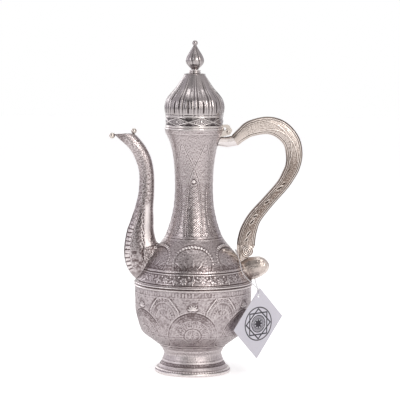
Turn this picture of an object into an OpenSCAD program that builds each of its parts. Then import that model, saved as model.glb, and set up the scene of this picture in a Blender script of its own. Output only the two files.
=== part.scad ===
// Silver-plated ewer with an onion-dome lid, an S-shaped spout and a hollow strap handle.
// Origin: centre of the foot's underside. +Z up, spout towards -X, handle towards +X.

/* [Foot] */
// Radius of the petalled ring that the ewer stands on
foot_r = 38; // [35:0.5:44]
// Radius of the foot at its narrowest
foot_waist_r = 28.6; // [26:0.2:31]
// Height of the foot up to the underside of the bowl
foot_h = 26.2; // [24:0.2:30]
// Height of the petalled ring
foot_ring_h = 5.4; // [4.6:0.1:6.4]
// Width of the petalled ring in plan
foot_ring_w = 3.4; // [2.5:0.1:4.5]
// Sheet thickness of the foot
foot_wall = 1.4; // [1:0.1:2]

/* [Bowl] */
// Largest radius of the bowl
bowl_r = 58.2; // [55:0.2:62]
// Radius of the bowl's flat floor
floor_r = 32.5; // [31:0.5:34]
// Height of the bowl from its floor to the seam at the waist
bowl_h = 63.4; // [58:0.2:72]
// Sheet thickness of the bowl, shoulder and neck
wall = 1.2; // [0.9:0.1:1.6]

/* [Waist ring] */
// Height of the ring over the seam
waist_h = 5.5; // [4.5:0.1:7]
// How far the sheets are set in under the ring
seam_step = 1; // [0.6:0.1:1.4]
// Radius of each of the ring's two beads
bead_r = 1.25; // [0.9:0.05:1.35]

/* [Shoulder and neck] */
// How far the slanted ornament band runs in from the bowl's largest radius
band_slant = 7.8; // [6:0.1:9]
// Height of the slanted band above the seam
band_h = 14.5; // [12:0.5:18]
// Smallest radius of the neck
neck_r = 18.8; // [17:0.2:21]
// Height of the shoulder from the band to the narrowest place of the neck
shoulder_h = 83.5; // [76:0.5:92]
// Radius of the mouth
mouth_r = 29.5; // [28:0.1:31]
// Height of the flaring part of the neck
flare_h = 55.5; // [50:0.5:62]
// Height of the polished ring on the mouth
neck_rim_h = 2; // [1.6:0.1:2.6]

/* [Lid] */
// Gap between the lid and the mouth's ring
lid_gap = 0.3; // [0.2:0.05:0.6]
// Height of the lid's band
lid_band_h = 11; // [9:0.5:14]
// Sheet thickness of the lid's band
lid_band_wall = 1.3; // [1:0.1:1.6]
// Largest radius of the dome
dome_r = 29.7; // [29:0.1:31]
// Height of the dome
dome_h = 41.2; // [36:0.2:50]
// Number of lobes round the dome
lobes = 12; // [8:1:16]
// Depth of the grooves between the lobes
lobe_depth = 1.3; // [0.6:0.1:1.8]
// Sheet thickness of the dome at its grooves
dome_wall = 1; // [0.8:0.1:1.4]
// Depth of the tapered skirt inside the mouth
skirt_h = 3.5; // [2.5:0.1:4]
// Clearance between the skirt's upper edge and the mouth
skirt_gap = 0.5; // [0.4:0.05:0.8]

/* [Finial] */
// Radius of the cap at the top of the dome
cap_r = 10.9; // [10.4:0.1:12.5]
// Thickness of the cap
cap_h = 1.4; // [1.2:0.1:2]
// Radius of the collar under the bud
collar_r = 6.3; // [5.4:0.1:7]
// Height of the collar
collar_h = 3.2; // [2.6:0.1:4]
// Largest radius of the bud
bud_r = 9.1; // [8:0.1:10]
// Height of the bud up to the ball
bud_h = 24.2; // [20:0.2:30]
// Radius of the ball on the tip
ball_r = 2.8; // [2.2:0.1:3.4]
// Radius of the stud that holds the finial
stud_r = 2; // [1.6:0.1:2.4]
// Radius of the nut under the cap
nut_r = 4.5; // [4:0.1:5.5]
// Height of the nut
nut_h = 3; // [2.4:0.1:4]

/* [Hinge] */
// Radius of the knuckles
knuckle_r = 3; // [2.6:0.1:3.2]
// Radius of the hinge pin
pin_r = 1.2; // [1:0.05:1.4]
// Clearance round the pin in the lid's knuckle
pin_gap = 0.06; // [0.03:0.01:0.09]
// Width of the lid's knuckle
leaf_w = 6; // [5:0.2:7]
// Width of each fixed knuckle
fixed_w = 5.2; // [4:0.2:6]
// Sideways gap between knuckles
side_gap = 0.3; // [0.2:0.05:0.5]
// Distance of the pin outside the mouth
hinge_out = 4.1; // [3.8:0.1:4.6]
// Depth of the pin below the top of the mouth's ring
hinge_drop = 4.1; // [3.8:0.1:4.5]

/* [Spout] */
// Sheet thickness of the spout
spout_wall = 1.2; // [1:0.1:1.5]
// Half the width of the spout's footprint on the shoulder
spout_root_b = 12.5; // [11:0.1:14]
// Height of the spout's footprint on the body
spout_root_h = 36.5; // [34:0.5:39]
// Radius of the pouring hole in the shoulder
pour_hole_r = 8; // [6:0.5:9]
// Radius of the rolled lip
lip_r = 2.6; // [2:0.1:3.2]
// Radius of the small ball on the mouth
knob_r = 2.8; // [2.4:0.1:3.2]

/* [Handle] */
// Depth of the handle from front to back
handle_depth = 12; // [10:0.5:14]
// Sheet thickness of the handle's halves
handle_wall = 1; // [0.8:0.1:1.4]
// Reach of the handle's centre line from the ewer's axis
handle_reach = 99.5; // [94:0.5:106]
// Width of the band where it starts at the socket
handle_top_w = 11.6; // [10.5:0.1:12.5]
// Width of the band at its lower end
handle_foot_w = 18; // [17:0.2:19]
// Radius of the volute at the lower end
volute_r = 5.4; // [4.8:0.1:6]
// Length of the bulbous leaf below the volute, outward from the handle's lower end
leaf_len = 23.5; // [20:0.1:25]
// Thickness of the leaf plate on the shoulder
bracket_t = 1.6; // [1.2:0.1:2]

/* [Hang tag] */
// Short side of the card
tag_w = 46; // [40:1:52]
// Long side of the card
tag_l = 53.6; // [46:0.2:58]
// Thickness of the card
tag_t = 0.5; // [0.3:0.05:0.8]
// Radius of the card's hole
tag_hole_r = 1.6; // [1.4:0.1:2]
// Distance of the hole from the card's upper corner
tag_hole_drop = 8; // [7:0.5:10]
// Diameter of the thread
thread_d = 0.7; // [0.5:0.05:0.9]

/* [Hidden] */

$fn = 96;
seat = 0.12;          // air left under a swept piece that is seated on a turned surface
SILVER = [0.74, 0.72, 0.71];
DARK_SILVER = [0.62, 0.6, 0.59];
POLISHED = [0.88, 0.87, 0.86];
WARM_SILVER = [0.78, 0.74, 0.69];
CARD = [0.93, 0.91, 0.95];

// Heights, from the foot up
floor_z = foot_h;
band_top_r = bowl_r - band_slant;
seam_z = floor_z + bowl_h;
band_z = seam_z + band_h;
neck_z = band_z + shoulder_h;
mouth_z = neck_z + flare_h;
rim_z = mouth_z + neck_rim_h;
lid_z = rim_z + lid_gap;
dome_z = lid_z + lid_band_h;
cap_z = dome_z + dome_h;
collar_z = cap_z + cap_h;
bud_z = collar_z + collar_h;

seam_r = bowl_r - seam_step;
foot_ring_in = foot_r - foot_ring_w;
mouth_in = mouth_r - wall;
lid_band_r = mouth_r - 1;
flange_r = mouth_r - 0.2;
lid_band_in = lid_band_r - lid_band_wall;
hinge_x = mouth_r + hinge_out;
hinge_z = rim_z - hinge_drop;

// ---- Curves -------------------------------------------------------------------------------

// A smooth curve through the points p, with n steps between each two of them
function spline(p, n) = concat([for (i = [0:len(p) - 2], k = [0:n - 1])
    catmull(p[max(i - 1, 0)], p[i], p[i + 1], p[min(i + 2, len(p) - 1)], k / n)],
    [p[len(p) - 1]]);
function catmull(a, b, c, d, t) = 0.5 * (2 * b + (c - a) * t
    + (2 * a - 5 * b + 4 * c - d) * t * t + (3 * b - a - 3 * c + d) * t * t * t);
function unit(v) = v / norm(v);
function lerp(a, b, t) = a + (b - a) * t;
function reversed(p) = [for (i = [len(p) - 1:-1:0]) p[i]];

// The direction of an open curve at its point i
function along(p, i) = unit(p[min(i + 1, len(p) - 1)] - p[max(i - 1, 0)]);

// A turned outline, moved to its left by t: the inner side of a sheet whose outline runs upward.
// Its two ends move level, so that the sheet's edges are flat.
function inset(p, t) = [for (i = [0:len(p) - 1]) i == 0 || i == len(p) - 1 ? p[i] - [t, 0]
    : p[i] + t * [-along(p, i)[1], along(p, i)[0]]];

// The radius of an outline at a height
function radius_at(p, z) = lookup(z, [for (q = p) [q[1], q[0]]]);

// ---- Outlines of the turned body, each point is [radius, height] -----------------------------

foot_outline = concat([[foot_ring_in, 0.8], [foot_ring_in, foot_ring_h]], spline([
    [foot_ring_in, foot_ring_h + 0.6],
    [lerp(foot_waist_r, foot_ring_in, 0.8), foot_ring_h + 2.6],
    [lerp(foot_waist_r, foot_ring_in, 0.52), foot_ring_h + 5],
    [lerp(foot_waist_r, foot_ring_in, 0.32), foot_ring_h + 7.4],
    [foot_waist_r, foot_h - 7],
    [foot_waist_r + 1.6, foot_h - 3.4],
    [floor_r - 1.6, foot_h - 1.4],
    [floor_r, foot_h]], 3));

function bowl_point(fr, fz) = [lerp(floor_r, bowl_r, fr), floor_z + bowl_h * fz];
bowl_side = spline([
    bowl_point(0, 0),
    bowl_point(0.08, 0.038),
    bowl_point(0.385, 0.13),
    bowl_point(0.69, 0.225),
    bowl_point(0.785, 0.29),
    bowl_point(0.885, 0.416),
    bowl_point(0.962, 0.543),
    bowl_point(0.99, 0.669),
    bowl_point(1, 0.86)], 3);

function shoulder_point(fr, fz) = [lerp(neck_r, band_top_r, fr), band_z + shoulder_h * fz];
function flare_point(fr, fz) = [lerp(neck_r, mouth_r, fr), neck_z + flare_h * fz];
upper_outline = concat([[seam_r, seam_z], [seam_r, seam_z + waist_h / 2]],
    spline([
        shoulder_point(1, 0),
        shoulder_point(0.89, 0.084),
        shoulder_point(0.653, 0.222),
        shoulder_point(0.347, 0.365),
        shoulder_point(0.186, 0.509),
        shoulder_point(0.082, 0.653),
        shoulder_point(0.022, 0.796),
        shoulder_point(0, 1),
        flare_point(0.084, 0.342),
        flare_point(0.346, 0.667),
        flare_point(0.72, 0.865),
        flare_point(0.907, 0.93),
        flare_point(1, 1)], 3));

// The same outside, run down over the waist so that pieces can be seated across it
seat_outline = concat([[bowl_r, seam_z - waist_h]], [[bowl_r + bead_r, seam_z]],
    [for (p = upper_outline) if (p[1] > seam_z + 0.1) p]);
function body_r(z) = radius_at(seat_outline, z);

// ---- Swept and lofted skins --------------------------------------------------------------

function power(v, e) = sign(v) * pow(abs(v), e);

// A ring round the segment from lo to hi, each [x, z], with half depth b; flat = 1 is an ellipse,
// and less than 1 is squarer. It starts at hi and comes forward first.
function ring(lo, hi, b, n, flat = 1) = [for (k = [0:n - 1])
    let (c = power(cos(360 * k / n), flat), s = power(sin(360 * k / n), flat), m = (lo + hi) / 2,
        h = (hi - lo) / 2)
    [m[0] + h[0] * c, -b * s, m[1] + h[1] * c]];

// A ring on the turned body, on the side where sx is 1 or -1, lifted off the surface by up
function root_ring(sx, z_lo, z_hi, b, n, up) = [for (k = [0:n - 1])
    let (z = lerp(z_lo, z_hi, 0.5 + 0.5 * cos(360 * k / n)), y = -b * sin(360 * k / n))
    [sx * sqrt(pow(body_r(z) + up, 2) - y * y), y, z]];

function flatten(l) = [for (a = l, b = a) b];

// Two triangles for each quad between loop i and loop i + 1 of n points; turn = true faces inward
function wall_faces(m, n, at = 0, turn = false) = [for (i = [0:m - 2], j = [0:n - 1])
    let (a = at + i * n + j, b = at + i * n + (j + 1) % n, c = b + n, d = a + n)
    each turn ? [[a, c, b], [a, d, c]] : [[a, b, c], [a, c, d]]];

// Triangles between an outer loop and an inner loop of n points each
function rim_faces(outer, inner, n, turn) = [for (j = [0:n - 1])
    let (a = outer + j, b = outer + (j + 1) % n, c = inner + (j + 1) % n, d = inner + j)
    each turn ? [[a, c, b], [a, d, c]] : [[a, b, c], [a, c, d]]];

// An open tube between matching lists of outer and inner rings
module tube(outer, inner) {
    m = len(outer);
    n = len(outer[0]);
    polyhedron(concat(flatten(outer), flatten(inner)), concat(
        wall_faces(m, n),
        wall_faces(m, n, m * n, true),
        rim_faces(0, m * n, n, true),
        rim_faces((m - 1) * n, (2 * m - 1) * n, n, false)));
}

function middle(r) = [for (k = [0:2]) let (v = [for (p = r) p[k]]) sum(v) / len(v)];
function sum(v, i = 0) = i >= len(v) ? 0 : v[i] + sum(v, i + 1);

// A solid through a list of rings, closed by a fan at each end
module loft(rings) {
    m = len(rings);
    n = len(rings[0]);
    polyhedron(concat(flatten(rings), [middle(rings[0]), middle(rings[m - 1])]), concat(
        wall_faces(m, n),
        [for (j = [0:n - 1]) [m * n, (j + 1) % n, j]],
        [for (j = [0:n - 1]) [m * n + 1, (m - 1) * n + j, (m - 1) * n + (j + 1) % n]]));
}

// ---- Foot and body -----------------------------------------------------------------------

// A turned sheet of thickness t under an outline, cut level at its top
module sheet(outline, t) {
    top = outline[len(outline) - 1][1];
    rotate_extrude() polygon(concat(outline,
        reversed([for (p = inset(outline, t)) [p[0], min(p[1], top)]])));
}

module foot() {
    color(DARK_SILVER) sheet(foot_outline, foot_wall);
}

module foot_rim() {
    color(POLISHED) rotate_extrude() polygon([
        [foot_ring_in, 0],
        [foot_r - 1, 0],
        [foot_r - 0.2, 0.8],
        [foot_r, foot_ring_h * 0.4],
        [foot_r - 0.4, foot_ring_h * 0.7],
        [foot_r - 1.4, foot_ring_h * 0.92],
        [foot_r - 2.6, foot_ring_h],
        [foot_ring_in, foot_ring_h]]);
}

module bowl() {
    step_z = seam_z - waist_h / 2;
    outside = concat([[0, floor_z]], bowl_side,
        [[bowl_r, step_z], [seam_r, step_z], [seam_r, seam_z]]);
    inside = [for (p = inset(bowl_side, wall)) if (p[1] > floor_z + wall + 0.4) p];
    color(SILVER) rotate_extrude() polygon(concat(outside,
        [[seam_r - wall, seam_z], [seam_r - wall, step_z - wall], [bowl_r - wall, step_z - 2 * wall]],
        reversed(inside), [[inside[0][0], floor_z + wall], [0, floor_z + wall]]));
}

module waist_ring() {
    color(POLISHED) rotate_extrude() {
        translate([seam_r, seam_z - waist_h / 2]) square([seam_step, waist_h]);
        difference() {
            for (side = [-1, 1]) translate([bowl_r - 0.4, seam_z + side * (waist_h / 2 - bead_r)])
                circle(bead_r, $fn = 32);
            translate([0, seam_z - waist_h]) square([seam_r, 2 * waist_h]);
        }
    }
}

// A slot with round ends behind the spout
module pour_hole() {
    low = root_lo + 6 + pour_hole_r;
    high = root_hi - 4 - pour_hole_r;
    translate([-bowl_r - 5, 0, 0]) rotate([90, 0, 90]) linear_extrude(bowl_r) {
        translate([0, low]) circle(pour_hole_r);
        translate([0, high]) circle(pour_hole_r);
        translate([-pour_hole_r, low]) square([2 * pour_hole_r, high - low]);
    }
}

module upper_body() {
    color(SILVER) difference() {
        sheet(upper_outline, wall);
        pour_hole();
    }
}

// Heights between which the spout's base stands on the body
root_lo = seam_z + waist_h / 2 + 0.3;
root_hi = root_lo + spout_root_h;

// The outside of the upper body, filled, and grown by t
module body_mass(t = 0) {
    rotate_extrude() polygon(concat([[0, seam_z - waist_h]],
        [for (p = seat_outline) [p[0] + t, p[1]]], [[mouth_r + t, rim_z], [0, rim_z]]));
}

module neck_rim() {
    color(POLISHED) rotate_extrude() {
        translate([mouth_in, mouth_z]) square([mouth_r - mouth_in - 0.5, neck_rim_h]);
        translate([mouth_r - 0.7, mouth_z + neck_rim_h / 2]) circle(neck_rim_h / 2, $fn = 32);
    }
}

// ---- Spout -------------------------------------------------------------------------------

// Stations up the spout: [x of the centre line, height, tilt of the section, width, half depth].
// x counts from the bowl's largest radius, and heights count from the top of the band.
spout_stations = [
    [-5.6, 20.6, 17, 35.5, 12],
    [-5.2, 28.3, 0, 31, 11.4],
    [-5.1, 38.3, 0, 26.8, 10.4],
    [-6.8, 48.3, 0, 23, 9.4],
    [-8.6, 60.3, -2, 18.6, 8.2],
    [-10.6, 73.8, 0, 16, 7.2],
    [-11.2, 88.3, 0, 15, 6.6],
    [-10.3, 99.5, 8, 14.8, 6.5],
    [-7.6, 109.2, 17, 15.2, 6.5],
    [-2.4, 119.6, 27, 14.6, 6.6],
    [5.4, 128.6, 30, 14.8, 6.9],
    [12.6, 134.1, 3, 17.6, 6.6]];
spout_line = spline(spout_stations, 3);

function spout_half(s) = s[3] / 2 * [cos(s[2]), sin(s[2])];
function spout_mid(s) = [-bowl_r - s[0], band_z + s[1]];
function spout_ring(s, t) = let (h = spout_half(s) * (1 - 2 * t / s[3]))
    ring(spout_mid(s) - h, spout_mid(s) + h, s[4] - t, spout_n);
spout_n = 20;

module spout() {
    color(SILVER) tube([for (s = spout_line) spout_ring(s, 0)],
        [for (s = spout_line) spout_ring(s, spout_wall)]);
}

// The flared base bends from the tube's first section down onto the band and shoulder
function saddle_rings(t) = let (
    first = spout_ring(spout_stations[0], t),
    s = spout_stations[0],
    low = spout_mid(s) - spout_half(s) * (1 - 2 * t / s[3]),
    high = spout_mid(s) + spout_half(s) * (1 - 2 * t / s[3]),
    bend = ring([low[0] + 0.4, lerp(root_lo, low[1], 0.38)], [high[0], high[1] - 0.8],
        spout_root_b - t, spout_n),
    last = root_ring(-1, root_lo + t, root_hi - t, spout_root_b - t, spout_n, seat))
    [for (k = [0:6]) let (u = k / 6) [for (j = [0:spout_n - 1])
        (1 - u) * (1 - u) * first[j] + 2 * u * (1 - u) * bend[j] + u * u * last[j]]];

module spout_saddle() {
    color(POLISHED) tube(reversed(saddle_rings(0)), reversed(saddle_rings(spout_wall)));
}

mouth_station = spout_stations[len(spout_stations) - 1];
mouth_tip = spout_mid(mouth_station) - spout_half(mouth_station);
mouth_back = spout_mid(mouth_station) + spout_half(mouth_station);

// A roll under the pouring edge, shortened to the width of the edge
module spout_lip() {
    color(POLISHED) translate([mouth_tip[0] - lip_r * 0.86, 0, mouth_tip[1] - lip_r * 0.54])
        rotate([90, 0, 0]) {
            cylinder(r = lip_r, h = 3, center = true, $fn = 48);
            for (side = [0, 180]) rotate([side, 0, 0]) translate([0, 0, 1.5])
                rotate_extrude() polygon([[0, 0], [lip_r, 0], [lip_r * 0.8, 1], [0, 1.5]]);
        }
}

module spout_knob() {
    color(POLISHED) translate([mouth_back[0] + knob_r * 0.69, 0, mouth_back[1] + knob_r * 0.9])
        sphere(knob_r, $fn = 48);
}

// ---- Handle ------------------------------------------------------------------------------

handle_foot_x = band_top_r + 2.1;
handle_foot_z = band_z + 24.5;

// Stations of the handle: [x, z, width of the band]
handle_stations = [
    [hinge_x + 6.8, hinge_z - 8.6, handle_top_w],
    [hinge_x + 14.2, hinge_z - 2.1, 13.4],
    [hinge_x + 23, hinge_z + 3.6, 16.2],
    [handle_reach - 26.7, hinge_z + 6.7, 17.5],
    [handle_reach - 13.6, hinge_z + 2.8, 18.2],
    [handle_reach - 3.5, hinge_z - 7.6, 17.4],
    [handle_reach, hinge_z - 20.6, 16.8],
    [handle_reach - 1, hinge_z - 32.6, 15],
    [handle_reach - 4.9, hinge_z - 41.9, 13.8],
    [handle_reach - 11.5, hinge_z - 52.9, 12.4],
    [handle_reach - 24.8, hinge_z - 68.4, 12.1],
    [handle_foot_x + 8.5, handle_foot_z + 27.3, 14],
    [handle_foot_x + 2.8, handle_foot_z + 15, 16.6],
    [handle_foot_x + 0.4, handle_foot_z + 5, 17.9],
    [handle_foot_x, handle_foot_z, handle_foot_w]];
handle_line = spline(handle_stations, 3);
handle_n = 8;          // steps across each half of the band
handle_flat = 0.62;    // squares the section: flat faces with rounded edges

// The section's own direction: level at the lower end, tilted to suit the socket at the upper end,
// and square to the line elsewhere
socket_tilt = 31;
function handle_side(i) = i == len(handle_line) - 1 ? [1, 0]
    : i == 0 ? [-sin(socket_tilt), cos(socket_tilt)]
    : let (d = unit(step_at(i))) [-d[1], d[0]];
function step_at(i) = let (a = handle_line[max(i - 1, 0)],
    b = handle_line[min(i + 1, len(handle_line) - 1)]) [b[0] - a[0], b[1] - a[1]];

// Points across the front half, from the outer edge to the inner one, t inside the skin
function half_section(i, t) = let (p = handle_line[i], s = handle_side(i), w = p[2] / 2 - t,
    d = handle_depth / 2 - t) [for (k = [0:handle_n])
    let (c = power(cos(180 * k / handle_n), handle_flat),
        q = power(sin(180 * k / handle_n), handle_flat))
    [p[0] + s[0] * w * c, -d * q, p[1] + s[1] * w * c]];

module handle_half() {
    last = len(handle_line) - 1;
    n = handle_n + 1;
    loops = [for (i = [last:-1:0])
        concat(half_section(i, 0), reversed(half_section(i, handle_wall)))];
    ends = [for (i = [0, last], j = [0:handle_n - 1])
        let (a = i * 2 * n + j, b = a + 1, c = i * 2 * n + 2 * n - 2 - j, d = c + 1)
        each i == 0 ? [[a, c, b], [a, d, c]] : [[a, b, c], [a, c, d]]];
    polyhedron(flatten(loops), concat(wall_faces(last + 1, 2 * n), ends));
}

module handle_front_half() {
    color(WARM_SILVER) handle_half();
}

module handle_back_half() {
    color(WARM_SILVER) mirror([0, 1, 0]) handle_half();
}

// A full ring round the handle at station i
function handle_ring(i) = let (h = half_section(i, 0)) concat(h,
    [for (k = [handle_n - 1:-1:1]) [h[k][0], -h[k][1], h[k][2]]]);

// The wedge that joins the band to the neck below the hinge
module socket_loft() {
    n = 2 * handle_n;
    low = hinge_z - 14.2;
    high = hinge_z - 5;
    b = handle_depth / 2;
    square_ring = ring([0, low], [0, high], b, n, handle_flat);
    on_neck = [for (q = square_ring)
        [sqrt(pow(body_r(q[2]) + 3 * seat, 2) - q[1] * q[1]), q[1], q[2]]];
    middle_ring = ring([hinge_x - 0.8, low - 1.4], [hinge_x - 0.6, high + 0.4], b, n, handle_flat);
    loft([handle_ring(0), middle_ring, on_neck]);
}

module handle_socket() {
    color(POLISHED) socket_loft();
}

volute = [handle_foot_x + 1.7, handle_foot_z - 6.1];

// The cast lower end: it closes the band, curls into the volute and stands on the bracket
module handle_scroll() {
    face = handle_depth / 2;
    left = handle_foot_x - handle_foot_w / 2;
    color(WARM_SILVER) difference() {
        rotate([90, 0, 0]) {
            linear_extrude(2 * face, center = true) {
                translate(volute) circle(volute_r, $fn = 64);
                polygon([
                    [left, handle_foot_z],
                    [left + handle_foot_w, handle_foot_z],
                    [volute[0] + volute_r * 0.94, volute[1] + 1.8],
                    [volute[0] + 0.6, volute[1] - volute_r - 1.1],
                    [left + 4.6, handle_foot_z - 16.6],
                    [left, handle_foot_z - 18],
                    [left - 0.2, handle_foot_z - 8]]);
            }
            translate([volute[0], volute[1], 0])
                cylinder(r = volute_r - 0.7, h = 2 * face + 1.6, center = true, $fn = 64);
        }
        body_mass(bracket_t);
    }
}

// Sections of the bulbous leaf below the scroll: [x below, z below, x above, z above, half depth],
// x from the handle's lower end, z from its height, as shares of the leaf's length
leaf_sections = leaf_len * [
    [0.306, -1.506, 0.085, -0.557, 0.247],
    [0.502, -1.447, 0.323, -0.528, 0.289],
    [0.706, -1.336, 0.57, -0.511, 0.302],
    [0.868, -1.209, 0.791, -0.591, 0.255],
    [0.966, -1.072, 0.936, -0.74, 0.162],
    [1, -0.945, 0.996, -0.851, 0.06]];

module leaf_loft() {
    n = 16;
    root = root_ring(1, handle_foot_z - leaf_len * 1.515, handle_foot_z - leaf_len * 0.732,
        leaf_len * 0.213, n, bracket_t + seat);
    loft(reversed(concat([root], [for (s = spline(leaf_sections, 2)) ring(
        [handle_foot_x + s[0], handle_foot_z + s[1]],
        [handle_foot_x + s[2], handle_foot_z + s[3]], s[4], n)])));
}

module handle_leaf() {
    color(WARM_SILVER) leaf_loft();
}

// Half outline of the leaf plate, [y, z from the top of the band]: a shield with a spreading spray
bracket_half = [
    [0, -11.4],
    [3.6, -8],
    [6.4, -3],
    [8, 2.5],
    [12.5, 8.6],
    [18.6, 14.2],
    [24, 20.6],
    [22.6, 22],
    [16.4, 18.2],
    [10.4, 14.8],
    [6.6, 13.2],
    [0, 12.4]];

module handle_bracket() {
    outline = concat(bracket_half, reversed([for (p = bracket_half) if (p[0] > 0) [-p[0], p[1]]]));
    color(WARM_SILVER) intersection() {
        difference() {
            body_mass(bracket_t);
            body_mass();
        }
        translate([0, 0, band_z]) rotate([90, 0, 90]) linear_extrude(bowl_r + 10) polygon(outline);
    }
}

// ---- Hinge -------------------------------------------------------------------------------

module at_hinge() {
    translate([hinge_x, 0, hinge_z]) rotate([90, 0, 0]) children();
}

// Two fixed knuckles, each with a web to the neck
module hinge_base() {
    inner = leaf_w / 2 + side_gap;
    color(POLISHED) difference() {
        at_hinge() for (z = [inner, -inner - fixed_w]) translate([0, 0, z]) linear_extrude(fixed_w) {
            circle(knuckle_r, $fn = 48);
            polygon([
                [0, -knuckle_r],
                [-hinge_out - 4, -knuckle_r - 2],
                [-hinge_out - 4, hinge_drop - neck_rim_h - 0.4],
                [0, hinge_drop - neck_rim_h - 0.4]]);
        }
        body_mass();
        at_hinge() cylinder(r = pin_r, h = 4 * fixed_w + leaf_w, center = true, $fn = 48);
    }
}

pin_half = leaf_w / 2 + side_gap + fixed_w;

module hinge_pin() {
    head = pin_r + 0.7;
    color(POLISHED) at_hinge() {
        cylinder(r = pin_r, h = 2 * pin_half, center = true, $fn = 48);
        for (side = [0, 180]) rotate([side, 0, 0]) translate([0, 0, pin_half]) intersection() {
            sphere(head, $fn = 48);
            cylinder(r = head + 1, h = head + 1);
        }
    }
}

// The lid's leaf: a strap from the flange, curled round the middle knuckle
module lid_hinge_leaf() {
    strap_lo = hinge_drop + lid_gap + 0.1;
    color(POLISHED) difference() {
        at_hinge() linear_extrude(leaf_w, center = true) {
            circle(knuckle_r, $fn = 48);
            translate([1, 1.4]) circle(knuckle_r, $fn = 48);
            polygon([
                [-hinge_out - 4, strap_lo],
                [-2.6, strap_lo],
                [-2.2, strap_lo - 1],
                [-2.2, 0],
                [3, 3],
                [1.6, strap_lo + 1.6],
                [-0.6, strap_lo + 2.8],
                [-hinge_out - 4, strap_lo + 2.6]]);
        }
        at_hinge() cylinder(r = pin_r + pin_gap, h = 2 * leaf_w, center = true, $fn = 48);
        lid_band_mass();
    }
}

// ---- Lid ---------------------------------------------------------------------------------

flange_h = 1.5;

// Outline of the band's outside, from its lower edge up
lid_band_outline = [
    [flange_r - 0.5, lid_z],
    [flange_r, lid_z + 0.5],
    [flange_r, lid_z + flange_h - 0.4],
    [lid_band_r, lid_z + flange_h],
    [lid_band_r, dome_z - 1.2],
    [lid_band_r + 0.4, dome_z - 0.8],
    [lid_band_r + 0.4, dome_z]];

module lid_band_mass() {
    rotate_extrude() polygon(concat([[0, lid_z]], lid_band_outline, [[0, dome_z]]));
}

module lid_band() {
    color(SILVER) rotate_extrude()
        polygon(concat([[lid_band_in, lid_z]], lid_band_outline, [[lid_band_in, dome_z]]));
}

// The collar inside the band tapers below it, so that it leaves the mouth as the lid turns
module lid_skirt() {
    in_mouth = mouth_in - skirt_gap;
    t = lid_band_wall * 0.77;
    top = lid_z + lid_band_h * 0.55;
    color(SILVER) rotate_extrude() polygon([
        [in_mouth - 1.5 - t, rim_z - skirt_h],
        [in_mouth - 1.5, rim_z - skirt_h],
        [in_mouth, rim_z],
        [in_mouth, lid_z],
        [lid_band_in, lid_z],
        [lid_band_in, top],
        [lid_band_in - t, top],
        [lid_band_in - t, lid_z]]);
}

dome_foot_r = lid_band_r + 0.2;
dome_top_r = cap_r - 0.5;
dome_profile = spline([
    [dome_foot_r, dome_z],
    [lerp(dome_foot_r, dome_r, 0.8), dome_z + dome_h * 0.126],
    [dome_r, dome_z + dome_h * 0.235],
    [lerp(dome_top_r, dome_r, 0.92), dome_z + dome_h * 0.393],
    [lerp(dome_top_r, dome_r, 0.727), dome_z + dome_h * 0.527],
    [lerp(dome_top_r, dome_r, 0.45), dome_z + dome_h * 0.672],
    [lerp(dome_top_r, dome_r, 0.232), dome_z + dome_h * 0.825],
    [dome_top_r, cap_z]], 2);

// One lobe from rib to rib: [share of the lobe's angle, share of the groove's depth]
lobe_shape = [[0, 0], [0.1, 1], [0.22, 0.34], [0.36, 0.08], [0.5, 0], [0.64, 0.08], [0.78, 0.34],
    [0.9, 1]];
dome_n = lobes * len(lobe_shape);

// The grooves fade towards the band and the cap
function groove_at(z) = let (f = (z - dome_z) / dome_h)
    lobe_depth * min(1, 0.25 + 3 * f, 0.3 + 2.2 * (1 - f));
function dome_ring(p, groove, t) = [for (i = [0:lobes - 1], s = lobe_shape)
    let (a = -87 - (i + s[0]) * 360 / lobes, r = p[0] - groove * s[1] - t)
    [r * cos(a), r * sin(a), p[1]]];

module lid_dome() {
    outer = [for (p = dome_profile) dome_ring(p, groove_at(p[1]), 0)];
    inner = [for (p = dome_profile) dome_ring(p, 0, min(groove_at(p[1]), lobe_depth) + dome_wall)];
    color(SILVER) tube(outer, inner);
}

module lid_cap() {
    color(POLISHED) rotate_extrude() polygon([
        [stud_r + 0.1, cap_z],
        [cap_r - 0.3, cap_z],
        [cap_r, cap_z + 0.3],
        [cap_r - 0.4, cap_z + 0.7],
        [collar_r + 1.4, collar_z],
        [stud_r + 0.1, collar_z]]);
}

module finial_collar() {
    color(POLISHED) rotate_extrude() {
        translate([stud_r + 0.1, collar_z]) square([collar_r - 1.4 - stud_r, collar_h]);
        for (f = [0.28, 0.78]) translate([collar_r - 0.9, collar_z + f * collar_h])
            circle(collar_h * 0.22, $fn = 32);
    }
}

bud_outline = spline([
    [3.5, bud_z],
    [lerp(3.5, bud_r, 0.12), bud_z + bud_h * 0.06],
    [lerp(3.5, bud_r, 0.85), bud_z + bud_h * 0.24],
    [bud_r, bud_z + bud_h * 0.41],
    [bud_r * 0.82, bud_z + bud_h * 0.6],
    [bud_r * 0.5, bud_z + bud_h * 0.79],
    [bud_r * 0.29, bud_z + bud_h * 0.92],
    [1.6, bud_z + bud_h]], 3);
ball_z = bud_z + bud_h + sqrt(ball_r * ball_r - 1.6 * 1.6);

module finial() {
    color(SILVER) {
        rotate_extrude() polygon(concat([[0, bud_z]], bud_outline, [[0, bud_z + bud_h]]));
        translate([0, 0, ball_z]) sphere(ball_r, $fn = 48);
        translate([0, 0, cap_z - nut_h - 1]) cylinder(r = stud_r, h = bud_z - cap_z + nut_h + 2);
    }
}

module finial_nut() {
    color(DARK_SILVER) difference() {
        translate([0, 0, cap_z - nut_h]) cylinder(r = nut_r, h = nut_h, $fn = 6);
        translate([0, 0, cap_z - nut_h - 1]) cylinder(r = stud_r + 0.1, h = nut_h + 2, $fn = 48);
    }
}

// ---- Hang tag ----------------------------------------------------------------------------

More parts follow.
